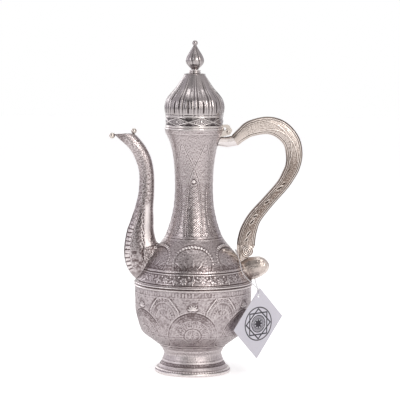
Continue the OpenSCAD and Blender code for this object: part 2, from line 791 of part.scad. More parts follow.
// The card hangs by its upper corner in an upright plane that just clears the bowl
tag_turn = 45;
tag_clear = 2.3;
tag_shift = 31.2;      // how far the card's hole lies to the handle's side of the nearest point
tag_hole_z = seam_z - 10;
tag_tilt = 2.6;        // the card's diagonal from upright
tag_lean = atan2(tag_w, tag_l);
tag_side = norm([tag_w, tag_l]) / 2 * sin(tag_tilt);   // puts the card's middle below its hole

module at_tag() {
    rotate([0, 0, -tag_turn]) translate([bowl_r + tag_clear, 0, 0]) rotate([90, 0, 90])
        translate([tag_shift, tag_hole_z, 0]) children();
}

module hang_tag() {
    color(CARD) at_tag() difference() {
        translate([tag_side, tag_hole_drop, 0]) rotate([0, 0, -90 - tag_lean - tag_tilt])
            linear_extrude(tag_t, center = true) square([tag_l, tag_w]);
        cylinder(r = tag_hole_r, h = 3, center = true, $fn = 48);
    }
}

// The thread's route: from its knot behind the handle's root, round the root's inner side, down
// through the card's hole and up under the leaf to the knot again
thread_route = [
    [50.5, 9.4, 112.1],
    [46.5, 9.6, 116.6],
    [43.8, 8.8, 119.8],
    [42.2, 6, 122.2],
    [41.6, 2.2, 123.2],
    [41.6, -2.2, 123.2],
    [42.4, -6.4, 122],
    [44.2, -10.4, 118.6],
    [46, -15, 113.6],
    [47, -19.6, 108.6],
    [48.4, -22.6, 103.8],
    [51.6, -23.8, 99],
    [56, -24.4, 94.8],
    [60.4, -24.6, 90.6],
    [64.17, -23.43, 87.3],
    [65.97, -22.13, 83.1],
    [65.77, -21.63, 81],
    [65.27, -21.13, 80.15],
    [64.87, -20.73, 79.95],
    [64.37, -20.23, 80.15],
    [63.97, -19.83, 81],
    [63.77, -19.03, 82.8],
    [63.77, -13.03, 87.3],
    [63, -7, 89.6],
    [62.4, -1, 91.2],
    [61.6, 4.4, 94.2],
    [59.2, 8.6, 100],
    [55, 9.8, 106.6],
    [51.2, 9.8, 111.2]];

// Frames carried along a curve in space, without twist
function frames(p, i = 0, side = [0, 0, 1]) = let (t = along(p, i),
    n = unit(side - t * (side * t))) i == len(p) - 1 ? [[n, cross(t, n)]]
    : concat([[n, cross(t, n)]], frames(p, i + 1, n));

module tag_thread() {
    line = spline(thread_route, 2);
    turned = frames(line);
    sides = 8;
    color("white") loft([for (i = [0:len(line) - 1]) [for (k = [0:sides - 1])
        let (a = 360 * k / sides)
        line[i] + thread_d / 2 * (cos(a) * turned[i][0] - sin(a) * turned[i][1])]]);
}

foot();
foot_rim();
bowl();
waist_ring();
upper_body();
neck_rim();
spout_saddle();
spout();
spout_lip();
spout_knob();
handle_front_half();
handle_back_half();
handle_socket();
handle_scroll();
handle_leaf();
handle_bracket();
hinge_base();
hinge_pin();
lid_hinge_leaf();
lid_band();
lid_skirt();
lid_dome();
lid_cap();
finial_collar();
finial();
finial_nut();
hang_tag();
tag_thread();
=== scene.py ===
import math

import bpy
import numpy as np
from mathutils import Matrix, Vector


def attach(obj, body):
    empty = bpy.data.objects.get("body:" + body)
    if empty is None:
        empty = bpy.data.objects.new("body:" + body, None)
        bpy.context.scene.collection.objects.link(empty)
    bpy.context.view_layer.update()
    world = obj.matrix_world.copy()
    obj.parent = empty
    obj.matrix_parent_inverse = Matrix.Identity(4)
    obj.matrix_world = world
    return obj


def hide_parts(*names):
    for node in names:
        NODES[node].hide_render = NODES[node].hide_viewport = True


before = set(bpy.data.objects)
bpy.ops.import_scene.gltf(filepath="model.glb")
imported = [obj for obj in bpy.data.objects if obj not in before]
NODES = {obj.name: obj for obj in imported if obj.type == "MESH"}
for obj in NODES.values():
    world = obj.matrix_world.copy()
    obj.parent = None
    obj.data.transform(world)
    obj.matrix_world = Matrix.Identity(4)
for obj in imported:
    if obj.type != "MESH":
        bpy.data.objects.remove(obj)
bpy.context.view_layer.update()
TAU = 2 * math.pi
FINE = 1.0      # share of the full mesh density


def placed(name, data):
    """A new object in the scene."""
    o = bpy.data.objects.new(name, data)
    bpy.context.scene.collection.objects.link(o)
    return o


# ---- Camera, at the photograph's viewing angle ----

VIEW_ANGLE, LOOK_DOWN, ROLL = 12.61, 5.086, 0.45     # degrees, fitted to the photograph
EYE = (0.00617, -1.8, 0.3329)

camera = placed("camera", bpy.data.cameras.new("camera"))
camera.data.sensor_width = 36
camera.data.lens = 18 / math.tan(math.radians(VIEW_ANGLE / 2))
camera.data.clip_end = 20
camera.matrix_world = (Matrix.Translation(EYE)
                       @ Matrix.Rotation(math.radians(90 - LOOK_DOWN), 4, "X")
                       @ Matrix.Rotation(math.radians(ROLL), 4, "Z"))
bpy.context.scene.camera = camera
bpy.context.scene.view_settings.view_transform = "Standard"

# ---- Materials ----


def adjust(n, values):
    """Sets a node's inputs by name: From_Min=0.3 sets "From Min"."""
    for name, value in values.items():
        n.inputs[name.replace("_", " ")].default_value = value
    return n


def material(name, **values):
    """(material, its node tree, its shader), with the shader's inputs set by name."""
    mat = bpy.data.materials.new(name)
    mat.use_nodes = True
    return mat, mat.node_tree, adjust(mat.node_tree.nodes["Principled BSDF"], values)


def link(out, into):
    into.id_data.links.new(out, into)


def node(tree, kind, **values):
    return adjust(tree.nodes.new("ShaderNode" + kind), values)


def attribute(tree, name, out="Fac"):
    """The socket that reads a mesh attribute."""
    n = node(tree, "Attribute")
    n.attribute_name = name
    return n.outputs[out]


def ramp(tree, stops, at):
    """A colour from stops (place, colour), read at a socket."""
    r = node(tree, "ValToRGB")
    e = r.color_ramp.elements
    while len(e) < len(stops):
        e.new(0.5)
    for el, (pos, col) in zip(e, stops):
        el.position = pos
        el.color = (*col, 1)
    link(at, r.inputs[0])
    return r.outputs[0]


def mixed(tree, factor, a, b, blend="MIX"):
    """Colour b over a; each of the three is a value or a socket."""
    n = node(tree, "Mix")
    n.data_type, n.blend_type = "RGBA", blend
    for name, value in (("Factor", factor), ("A", a), ("B", b)):
        if isinstance(value, bpy.types.NodeSocket):
            link(value, n.inputs[name])
        else:
            n.inputs[name].default_value = value
    return n.outputs["Result"]


def noise(tree, scale, detail=3.0):
    """Fractal noise on the object's own coordinates, in metres."""
    n = node(tree, "TexNoise", Scale=scale, Detail=detail, Roughness=0.6)
    link(node(tree, "TexCoord").outputs["Object"], n.inputs["Vector"])
    return n.outputs["Fac"]


def roughen(tree, bsdf, height, strength, distance):
    """A fine bump from a height socket."""
    b = node(tree, "Bump", Strength=strength, Distance=distance)
    link(height, b.inputs["Height"])
    link(b.outputs["Normal"], bsdf.inputs["Normal"])


def silver(name, mid, rough, high=None, low=None, grain=0.15):
    """Silver plate, its roughness uneven over the range rough. With high and low it is carved: a
    mesh's relief attribute makes it high where worn bright and where a highlight is painted, low
    in what is cut and where shade is painted, and mid at 0.5."""
    mat, tree, bsdf = material(name, Metallic=1)
    colour = ramp(tree, [(0.32, [c * 0.93 for c in mid]), (0.62, mid)], noise(tree, 60, 4))
    if high:
        relief_and_painted_light = attribute(tree, "relief_and_painted_light")
        half = [0.5 * (a + b) for a, b in zip(low, mid)]
        # the metal goes darker towards low in the cuts and where shade is painted, and lighter
        # towards high on worn raised parts and where a highlight is painted
        cut = ramp(tree, [(0.0, low), (0.36, half), (0.5, (1, 1, 1)), (0.8, (1, 1, 1))], relief_and_painted_light)
        rubbed_and_highlit = ramp(tree, [(0.5, (0, 0, 0)), (0.85, (1, 1, 1))], relief_and_painted_light)
        colour = mixed(tree, rubbed_and_highlit, mixed(tree, 1.0, colour, cut, "MULTIPLY"), (*high, 1))
    link(colour, bsdf.inputs["Base Color"])
    polish = node(tree, "MapRange", From_Min=0.3, From_Max=0.7, To_Min=rough[0], To_Max=rough[1])
    link(noise(tree, 220, 3), polish.inputs["Value"])
    link(polish.outputs["Result"], bsdf.inputs["Roughness"])
    roughen(tree, bsdf, noise(tree, 1500, 2), grain, 0.0002)
    return mat


# high and low of the carved silver: worn bright silver and the oxide in the cuts, also the colours
# of the painted highlights and painted shade on the spout
RUBBED_AND_HIGHLIGHT, CUT_AND_SHADE = (0.8, 0.745, 0.735), (0.16, 0.13, 0.125)
ENGRAVED = silver("engraved_silver", (0.5, 0.445, 0.445), (0.24, 0.4), RUBBED_AND_HIGHLIGHT, CUT_AND_SHADE)
SATIN = silver("satin_silver", (0.5, 0.445, 0.45), (0.38, 0.52), RUBBED_AND_HIGHLIGHT, CUT_AND_SHADE)
WARM = silver("warm_silver", (0.54, 0.47, 0.43), (0.24, 0.38), (0.8, 0.73, 0.68),
              (0.14, 0.11, 0.09))
FLUTED = silver("fluted_silver", (0.39, 0.355, 0.355), (0.18, 0.3), (0.78, 0.73, 0.71),
                (0.06, 0.05, 0.05), grain=0.1)
SMOOTH = silver("smooth_silver", (0.68, 0.63, 0.62), (0.12, 0.22), grain=0.1)
PLAIN = silver("plain_silver", (0.58, 0.54, 0.54), (0.22, 0.34), grain=0.25)
GILT = silver("bright_warm_silver", (0.6, 0.545, 0.5), (0.16, 0.26), grain=0.1)

# ---- Number helpers, all in millimetres ----


def spline(points, n):
    """The same smooth curve through the points as the CAD source draws, n steps to each span."""
    p = np.array(points, float)
    q = np.vstack([p[:1], p, p[-1:]])
    out = []
    for i in range(len(p) - 1):
        a, b, c, d = q[i:i + 4]
        for t in np.arange(n) / n:
            out.append(0.5 * (2 * b + (c - a) * t + (2 * a - 5 * b + 4 * c - d) * t * t
                              + (3 * b - a - 3 * c + d) * t ** 3))
    return np.array(out + [p[-1]])


def lerp(a, b, t):
    return a + (b - a) * t


def step(a, b, x):
    """0 up to a, 1 from b on, smooth between them."""
    t = np.clip((x - a) / (b - a), 0, 1)
    return t * t * (3 - 2 * t)


def wave(a):
    """1 at the angle 0, 0 half a turn on."""
    return 0.5 + 0.5 * np.cos(a)


def bump(d, w):
    """A round ridge of half width w at d = 0."""
    return wave(np.pi * np.clip(np.abs(d) / w, 0, 1))


def ridges(x, *rows):
    """The sum of ridges, or grooves, along x, each (place, half width, height)."""
    return sum(height * bump(x - at, width) for at, width, height in rows)


def dome(d, w):
    """A fuller, bead-like ridge."""
    return np.sqrt(np.clip(1 - (d / w) ** 2, 0, 1))


def cell(x, pitch, phase=0.0):
    """(index of the cell, distance from its middle)"""
    i = np.floor(x / pitch - phase + 0.5)
    return i, x - (i + phase) * pitch


def band(x, lo, hi, soft=0.5):
    """1 from lo to hi, else 0, with edges of half width soft."""
    return step(lo - soft, lo + soft, x) * (1 - step(hi - soft, hi + soft, x))


def over(h, on, new):
    """new where on is 1, h where it is 0."""
    return h * (1 - on) + on * new


def chance(i, j=0.0, seed=0.0):
    """A fixed pseudo-random number from 0 to 1 for each cell."""
    v = np.sin(i * 127.1 + j * 311.7 + seed * 74.7) * 43758.5453
    return v - np.floor(v)


def rough_field(x, y, size, seed=0.0):
    """Smooth random values from -1 to 1 that change over about size."""
    u, v = x / size, y / size
    i, j = np.floor(u), np.floor(v)
    a, b = u - i, v - j
    a, b = a * a * (3 - 2 * a), b * b * (3 - 2 * b)
    top = lerp(chance(i, j + 1, seed), chance(i + 1, j + 1, seed), a)
    return 2 * lerp(lerp(chance(i, j, seed), chance(i + 1, j, seed), a), top, b) - 1


def worn(x, y, seed=0.0):
    """Uneven hand work at two sizes."""
    return 0.6 * rough_field(x, y, 1.1, seed) + 0.4 * rough_field(x, y, 2.3, seed + 3)


def stipple(x, y, pitch=1.5):
    """Punched dots in offset rows."""
    j, dy = cell(y, pitch * 0.87)
    _, dx = cell(x + 0.5 * pitch * np.mod(j, 2), pitch)
    return -bump(np.hypot(dx, dy), pitch * 0.42)


def scrolls(x, y, size=6.0, line=1.9):
    """Spiral tendrils that turn left and right by turns."""
    j, dy = cell(y, size * 0.9)
    i, dx = cell(x + 0.5 * size * np.mod(j, 2), size)
    turn = np.where(np.mod(i + j, 2) < 1, 1.0, -1.0)
    rho = np.hypot(dx, dy)
    a = np.arctan2(dy, dx * turn) + TAU * chance(i, j)
    arm = wave(a - rho * TAU / line)
    frond = wave(3 * a + rho * 2.2)
    return np.where(rho < size * 0.47, arm * (0.7 + 0.3 * frond), 0.25 * frond)


def flower(x, y, size, petals=8, turn=0.0):
    """A round flower with a bead in the middle."""
    rho = np.hypot(x, y) / size
    a = np.arctan2(y, x) + turn
    lobe = np.abs(np.cos(petals * a / 2))
    edge = 0.62 + 0.38 * np.sqrt(lobe)
    body = np.clip(1 - (rho / edge) ** 3, 0, 1) * (0.55 + 0.45 * lobe) * step(0.18, 0.34, rho)
    return body + 0.95 * dome(rho, 0.22)


def leaf(x, y, length, width):
    """A pointed leaf along +y from the origin, with a vein."""
    t = np.clip(y / length, 0, 1)
    w = width * np.sin(np.pi * t ** 0.8) + 1e-3
    inside = (y > 0) & (y < length)
    body = np.clip(1 - (x / w) ** 2, 0, 1) ** 0.6
    return np.where(inside, body * (1 - 0.5 * bump(x, width * 0.16)), 0)


def height_and_tone(h):
    """(height, tone): a height function may also give where the metal is darker or brighter: from
    the oxide in its hollows and its worn raised parts, and on the spout, its saddle and the
    handle also from painted highlights and shade.
    """
    return h if isinstance(h, tuple) else (h, 0.0)


def blur(h, n):
    """A grid of closed rows, smoothed n times."""
    for _ in range(n):
        h = 0.25 * np.roll(h, 1, 1) + 0.5 * h + 0.25 * np.roll(h, -1, 1)
        p = np.pad(h, ((1, 1), (0, 0)), "edge")
        h = 0.25 * p[:-2] + 0.5 * h + 0.25 * p[2:]
    return h


def contrast(h, tone, n, near, wide):
    """The relief attribute of a grid: how far it stands above two smoothed copies of itself, plus
    its tone, which on the spout and the handle holds painted highlights and shade.
    """
    smooth = blur(h, n)
    return np.clip(0.5 + (h - smooth) * near + (h - blur(smooth, 6)) * wide + tone, 0, 1)


def unit(v, least=1e-9):
    """Vectors along the last axis, made one long."""
    return v / np.maximum(np.linalg.norm(v, axis=-1, keepdims=True), least)


def lengths(line):
    """Distance along a line of points, at each point."""
    return np.r_[0, np.cumsum(np.linalg.norm(np.diff(line, axis=0), axis=1))]


# ---- Mesh helpers ----


def skin(m, n, at=0, closed=True, flip=False, apart=None):
    """Quads between m rows of n points. The rows start at vertex at, n or apart vertices apart."""
    apart = apart or n
    i = np.arange(m - 1)[:, None] * apart
    j = np.arange(n if closed else n - 1)[None, :]
    k = (j + 1) % n
    q = np.stack([i + j, i + k, i + apart + k, i + apart + j], -1).reshape(-1, 4) + at
    return q[:, ::-1] if flip else q


def piece(name, points, faces, mat, body, replaces=(), relief_and_painted_light=None):
    """A visible mesh from points in mm and lists of faces, that rides on a body."""
    me = bpy.data.meshes.new(name)
    pts = np.asarray(points, np.float32).reshape(-1, 3) * 0.001
    me.vertices.add(len(pts))
    me.vertices.foreach_set("co", pts.ravel())
    loops = np.concatenate([np.asarray(f).ravel() for f in faces]).astype(np.int32)
    sizes = np.concatenate([np.full(len(f), np.asarray(f).shape[1]) for f in faces])
    starts = np.concatenate([[0], np.cumsum(sizes)[:-1]]).astype(np.int32)
    me.loops.add(len(loops))
    me.loops.foreach_set("vertex_index", loops)
    me.polygons.add(len(sizes))
    me.polygons.foreach_set("loop_start", starts)
    me.polygons.foreach_set("use_smooth", np.ones(len(sizes), bool))
    me.update(calc_edges=True)
    a = me.attributes.new("relief_and_painted_light", "FLOAT", "POINT")
    value = np.full(len(pts), 0.5, np.float32)
    if relief_and_painted_light is not None:
        r = np.asarray(relief_and_painted_light, np.float32).ravel()
        value[:len(r)] = r
    a.data.foreach_set("value", value)
    me.materials.append(mat)
    o = placed(name, me)
    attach(o, body)
    if replaces:
        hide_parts(*([replaces] if isinstance(replaces, str) else replaces))
    return o


def cad(name):
    """(points in mm, triangles, their normals) of a CAD node."""
    me = NODES[name].data
    co = np.empty(len(me.vertices) * 3, np.float32)
    me.vertices.foreach_get("co", co)
    co = co.reshape(-1, 3).astype(float) * 1000
    tris = np.empty(len(me.polygons) * 3, np.int32)
    me.loops.foreach_get("vertex_index", tris)
    tris = tris.reshape(-1, 3)
    a, b, c = co[tris[:, 0]], co[tris[:, 1]], co[tris[:, 2]]
    return co, tris, unit(np.cross(b - a, c - a), 1e-12)


def refined(co, tris, edge):
    """The same surface with no edge longer than edge."""
    while True:
        e = np.sort(np.stack([tris, np.roll(tris, -1, 1)], -1), -1)
        far = np.linalg.norm(co[e[..., 0]] - co[e[..., 1]], axis=-1) > edge
        if not far.any():
            return co, tris
        uniq, inv = np.unique(e[far], axis=0, return_inverse=True)
        mid = np.full(tris.shape, -1)
        mid[far] = inv.ravel() + len(co)
        co = np.vstack([co, (co[uniq[:, 0]] + co[uniq[:, 1]]) / 2])
        count = far.sum(1)
        out = [tris[count == 0]]
        for k in range(3):
            a, b, c = np.roll(tris, -k, 1).T
            ab, bc, ca = np.roll(mid, -k, 1).T
            for chosen, parts in (
                    ((count == 1) & far[:, k], ((a, ab, c), (ab, b, c))),
                    ((count == 2) & ~far[:, k - 1], ((ab, b, bc), (a, ab, bc), (a, bc, c))),
                    ((count == 3) & (k == 0), ((a, ab, ca), (ab, b, bc), (ca, bc, c),
                                               (ab, bc, ca)))):
                out += [np.stack(t, -1)[chosen] for t in parts]
        tris = np.vstack(out)


def dressed(name, cad_name, height, mat, body="pot", edge=0.45, gain=1.6, sharp=40):
    """A CAD node's own surface in fine triangles, moved by height(points, normals) along it."""
    co, tris, _ = cad(cad_name)
    near, inv = np.unique(np.round(co, 4), axis=0, return_inverse=True)
    tris = inv.ravel()[tris]
    tris = tris[(tris != np.roll(tris, -1, 1)).all(1)]
    co, tris = refined(near, tris, edge / FINE)
    a, b, c = (co[tris[:, k]] for k in range(3))
    N = np.zeros_like(co)
    for k in range(3):
        np.add.at(N, tris[:, k], np.cross(b - a, c - a))
    N = unit(N)
    h, tone = height_and_tone(height(co, N))
    o = piece(name, co + N * h[:, None], [tris], mat, body, cad_name,
              np.clip(0.5 + h * gain + tone, 0, 1))
    o.data.set_sharp_from_angle(angle=math.radians(sharp))


OUTWARD = 0.03      # a face whose normal leans out by less than this isn't on the outside


def outside(co, tris, nor):
    """Which faces of a turned piece look away from its axis."""
    mid = co[tris].mean(1)[:, :2]
    return (nor[:, :2] * unit(mid)).sum(1) > OUTWARD


def turned_outline(name):
    """The outer [radius, height] outline of a turned CAD node, from the bottom up."""
    co, tris, nor = cad(name)
    v = co[np.unique(tris[outside(co, tris, nor)])]
    r = np.hypot(v[:, 0], v[:, 1])
    z = np.round(v[:, 2], 2)
    zs = np.unique(z)
    return np.stack([[r[z == level].max() for level in zs], zs], 1)


def resample(pts, gap, corner=25):
    """Points about gap apart along an outline, smooth except at its corners, with normals."""
    p = np.array(pts, float)
    d = np.diff(p, axis=0)
    a = np.degrees(np.arctan2(d[:, 1], d[:, 0]))
    turn = np.abs((np.diff(a) + 180) % 360 - 180)
    cuts = [0] + [i + 1 for i, t in enumerate(turn) if t > corner] + [len(p) - 1]
    out = []
    for s, e in zip(cuts, cuts[1:]):
        fine = spline(p[s:e + 1], 12) if e - s > 1 else p[s:e + 1]
        seg = lengths(fine)
        k = max(1, int(round(seg[-1] / gap)))
        t = np.linspace(0, seg[-1], k + 1)
        q = np.stack([np.interp(t, seg, fine[:, 0]), np.interp(t, seg, fine[:, 1])], 1)
        out.append(q if not out else q[1:])
    q = np.vstack(out)
    g = unit(np.gradient(q, axis=0))
    return q, np.stack([g[:, 1], -g[:, 0]], 1)


def turned(name, cad_name, height, mat, n, gap, body="pot", lo=-1.0,
           depth=1.0, wear=0.0, gain=2.6):
    """A turned piece with a carved outside: the CAD outline above lo, moved along its normal by
    height(angle, z, radius, s) times depth, unevenly where wear is set. The inside and the edges
    are those of the CAD node. gain is the contrast of its tones."""
    pts = turned_outline(cad_name)
    q, nor = resample(pts[pts[:, 1] > lo], gap / FINE)
    n = int(n * FINE)
    s = lengths(q)
    T, Z = np.meshgrid((np.arange(n) / n - 0.5) * TAU, q[:, 1])
    R = np.repeat(q[:, :1], n, 1)
    S = np.repeat(s[:, None], n, 1)
    h, tone = height_and_tone(height(T, Z, R, S))
    h *= depth
    if wear:
        h = h * (0.8 + 0.4 * rough_field(T * 50, S, 6, 5)) + wear * worn(T * R.mean(), S)
    h *= np.minimum(step(0, 0.8, S), step(0, 0.8, s[-1] - S))
    relief_and_painted_light = contrast(h, tone, int(7 * FINE) + 1, gain, 0.3 * gain)
    rr = R + h * nor[:, :1]
    zz = Z + h * nor[:, 1:]
    carved = np.stack([rr * np.sin(T), -rr * np.cos(T), zz], -1).reshape(-1, 3)
    # what the carved skin doesn't stand for stays as it is
    co, tris, fn = cad(cad_name)
    mid = co[tris].mean(1)
    on = np.abs(np.hypot(mid[:, 0], mid[:, 1]) - np.interp(mid[:, 2], q[:, 1], q[:, 0])) < 0.25
    used, inv = np.unique(tris[~(on & outside(co, tris, fn))], return_inverse=True)
    piece(name, np.vstack([carved, co[used]]),
          [skin(len(q), n), inv.reshape(-1, 3) + len(carved)], mat, body, cad_name, relief_and_painted_light)


# ---- Ornament of the body ----

BOWL_R = 58.2
BAND_Z = 104.1              # top of the slanted band
PANELS = 6                  # repeats of the ornament round the body


def panel(T, R, n=PANELS, phase=0.0):
    """Arc distance from the middle of the nearest of n panels round the body."""
    return cell(T, TAU / n, phase)[1] * R


def foot_rim_height(T, Z, R, S):
    """Petals round the foot's lower edge, over a row of flat beads."""
    k, a = cell(T, TAU / 84)
    x = a * R
    row = band(Z, 3.6, 7.6, 0.3)
    tongue = dome(np.hypot(x / 1.9, np.maximum(5.6 - Z, 0) / 2.2), 1.0)
    _, b = cell(T, TAU / 42)
    h = row * (0.5 * tongue - 0.26) + 0.12 * dome(np.hypot(b * R / 3.4, (Z - 2.0) / 1.6), 1.0)
    h += ridges(Z, (3.4, 0.5, -0.16), (7.8, 0.5, -0.16))
    return h, 0.1 + 0.12 * band(Z, -1, 3.2, 0.3) + 0.06 * row * worn(x, k)


def foot_height(T, Z, R, S):
    """A dark ring over the petals, and low arches with a flower each."""
    fine = 0.1 * worn(T * 34, S, 2) + 0.09 * stipple(T * 33, S, 1.35) - 0.02
    dark = band(Z, 8.4, 11.3, 0.2)
    h = fine + dark * (0.16 * stipple(T * 38, Z, 1.15) - 0.1)
    h += ridges(Z, (12.9, 0.6, 0.16), (11.5, 0.5, -0.18), (14.3, 0.5, -0.08), (25.7, 0.7, 0.12))
    x = panel(T, R, 8, 0.5)
    arch = ridges(arch_distance(x, Z, 7.8, 24.6, 15), (0, 0.5, 0.09), (-1, 0.5, -0.08))
    h += band(Z, 14.6, 25.2, 0.4) * (arch + 0.08 * flower(x, Z - 18, 3.6, 6))
    return h, 0.06 - 0.16 * dark


def waist_ring_height(T, Z, R, S):
    """The two beads with the line between them."""
    h = 0.05 * worn(T * 59, S, 4) + ridges(
        Z, (90.9, 0.55, 0.3), (88.2, 0.5, 0.3), (89.5, 0.6, -0.3), (92.1, 0.5, -0.25),
        (87.1, 0.4, -0.25))
    return h, 0.08 - 0.06 * bump(Z - 89.5, 0.8) - 0.14 * step(91.6, 92.2, Z)


def turned_axes(x, y, angle):
    """(x, y) in axes that lean by angle."""
    c, s = math.cos(angle), math.sin(angle)
    return x * c - y * s, x * s + y * c


def arch_distance(x, y, half, top, foot):
    """Signed distance-like value of a round arch that stands at height foot."""
    ry = top - foot
    yy = np.maximum(y - foot, 0)
    return (np.hypot(x / half, yy / ry) - 1) * min(half, ry)


def bowl_height(T, Z, R, S):
    h = 0.08 * stipple(T * 54, S, 1.35) + 0.12 * worn(T * 54, S, 8) + 0.04
    # border of small tongues under the ring
    k, a = cell(T, TAU / 112)
    tongue = dome(np.hypot(a * R / 1.25, np.minimum(Z - 83.4, 0) / 1.5), 1.0)
    tongue = tongue * band(Z, 81.6, 86.2, 0.3)
    border = band(Z, 81.6, 87, 0.25)
    below = 1 - border
    worn_off = 0.55 + 0.45 * rough_field(T * 58, 0 * T, 9, 2)
    h = h * below + border * ((0.05 + 0.11 * chance(k, 1)) * tongue * worn_off - 0.03
                              + 0.1 * worn(T * 58, S, 2))
    h += 0.12 * bump(Z - 81.2, 0.5)
    # high arches between the low ones
    spring = 59             # height at which the arch turns
    x = panel(T, R, phase=0.5)
    d = arch_distance(x, Z, 17, 81, spring)
    inside = step(0.2, -0.2, d) * below
    ray = np.arctan2(Z - spring, x)
    h = h * (1 - 0.4 * inside) + inside * 0.07 * wave(ray * 30) * band(d, -9, -5, 0.3)
    h += below * (Z > 52) * ridges(d, (0, 0.65, 0.15), (1.5, 0.65, -0.09),
                                   (-3.2, 0.65, 0.14), (-8, 0.65, 0.1))
    _, turn = cell(ray, 0.17)
    loop = np.hypot(d + 1.7, turn * np.hypot(x, Z - spring))
    h += 0.13 * bump(loop - 0.9, 0.6) * (d < 0) * (Z > spring) * below
    bloom = flower(x, Z - 64, 4.6, 6)
    h += 0.16 * (bloom > 0.1) * bloom
    for side in (-1, 1):
        h += inside * 0.14 * leaf((x - side * 7) * 0.9 + side * (Z - 61) * 0.25, Z - 60, 8, 2.2)
    # two bright strokes and a sprig between them
    x = panel(T, R)
    line = np.abs(x) - (12.5 + 0.78 * (Z - 67))
    stroke = band(Z, 68, 80.5, 0.5) * bump(line - 0.8, 0.7)
    h = h + 0.3 * stroke - band(Z, 67, 80.5, 0.5) * 0.06 * bump(line + 0.4, 0.6)
    sprig = sum(leaf(*turned_axes(x, Z - 69.4, lean), 5.8, 1.1)
                for lean in (-1.3, -0.75, -0.25, 0.25, 0.75, 1.3))
    h += 0.45 * sprig
    # low arch with its rosette
    arc = S - np.interp(43.4, Z[:, 0], S[:, 0])
    rho = np.hypot(x, arc)
    ang = np.arctan2(arc, x)
    d = rho - 24.8
    inside = step(0.3, -0.3, d)
    field = (0.09 * stipple(x, arc, 1.35) + 0.1 * worn(x, arc, 4) + 0.03
             + 0.08 * wave(28 * ang) * band(rho, 9.6, 12.6, 0.4)
             + 0.07 * wave(52 * ang) * band(rho, 13.6, 16.2, 0.3)
             + ridges(rho, (8.4, 0.6, -0.14), (7.2, 0.6, 0.08), (13.1, 0.5, 0.1),
                      (16.8, 0.5, 0.1), (20.6, 0.5, 0.07))
             + 0.16 * flower(x, arc, 5.0, 10))
    h = over(h, inside, field)
    edge = 1 - 0.6 * step(12, 22, np.abs(x))
    h += edge * ridges(d, (0.7, 0.6, 0.08), (-0.5, 0.9, -0.2))
    shade = -0.1 * inside * step(14, 23, rho) * step(8, 20, arc)
    # plain lines above the foot
    h -= 0.1 * bump(Z - 41.9, 0.6) * (rho > 9)
    h += ridges(Z, (29.5, 0.6, 0.26), (31, 0.6, -0.12))
    shade = shade + 0.07 * worn(T * 20, S * 0.4, 9) + 0.22 * bump(Z - 29.5, 0.7) - 0.03
    bright = 0.12 * stroke + 0.12 * np.clip(sprig, 0, 1) - 0.06 * bump(np.hypot(x, Z - 71.6) - 5, 2)
    return h, shade + bright


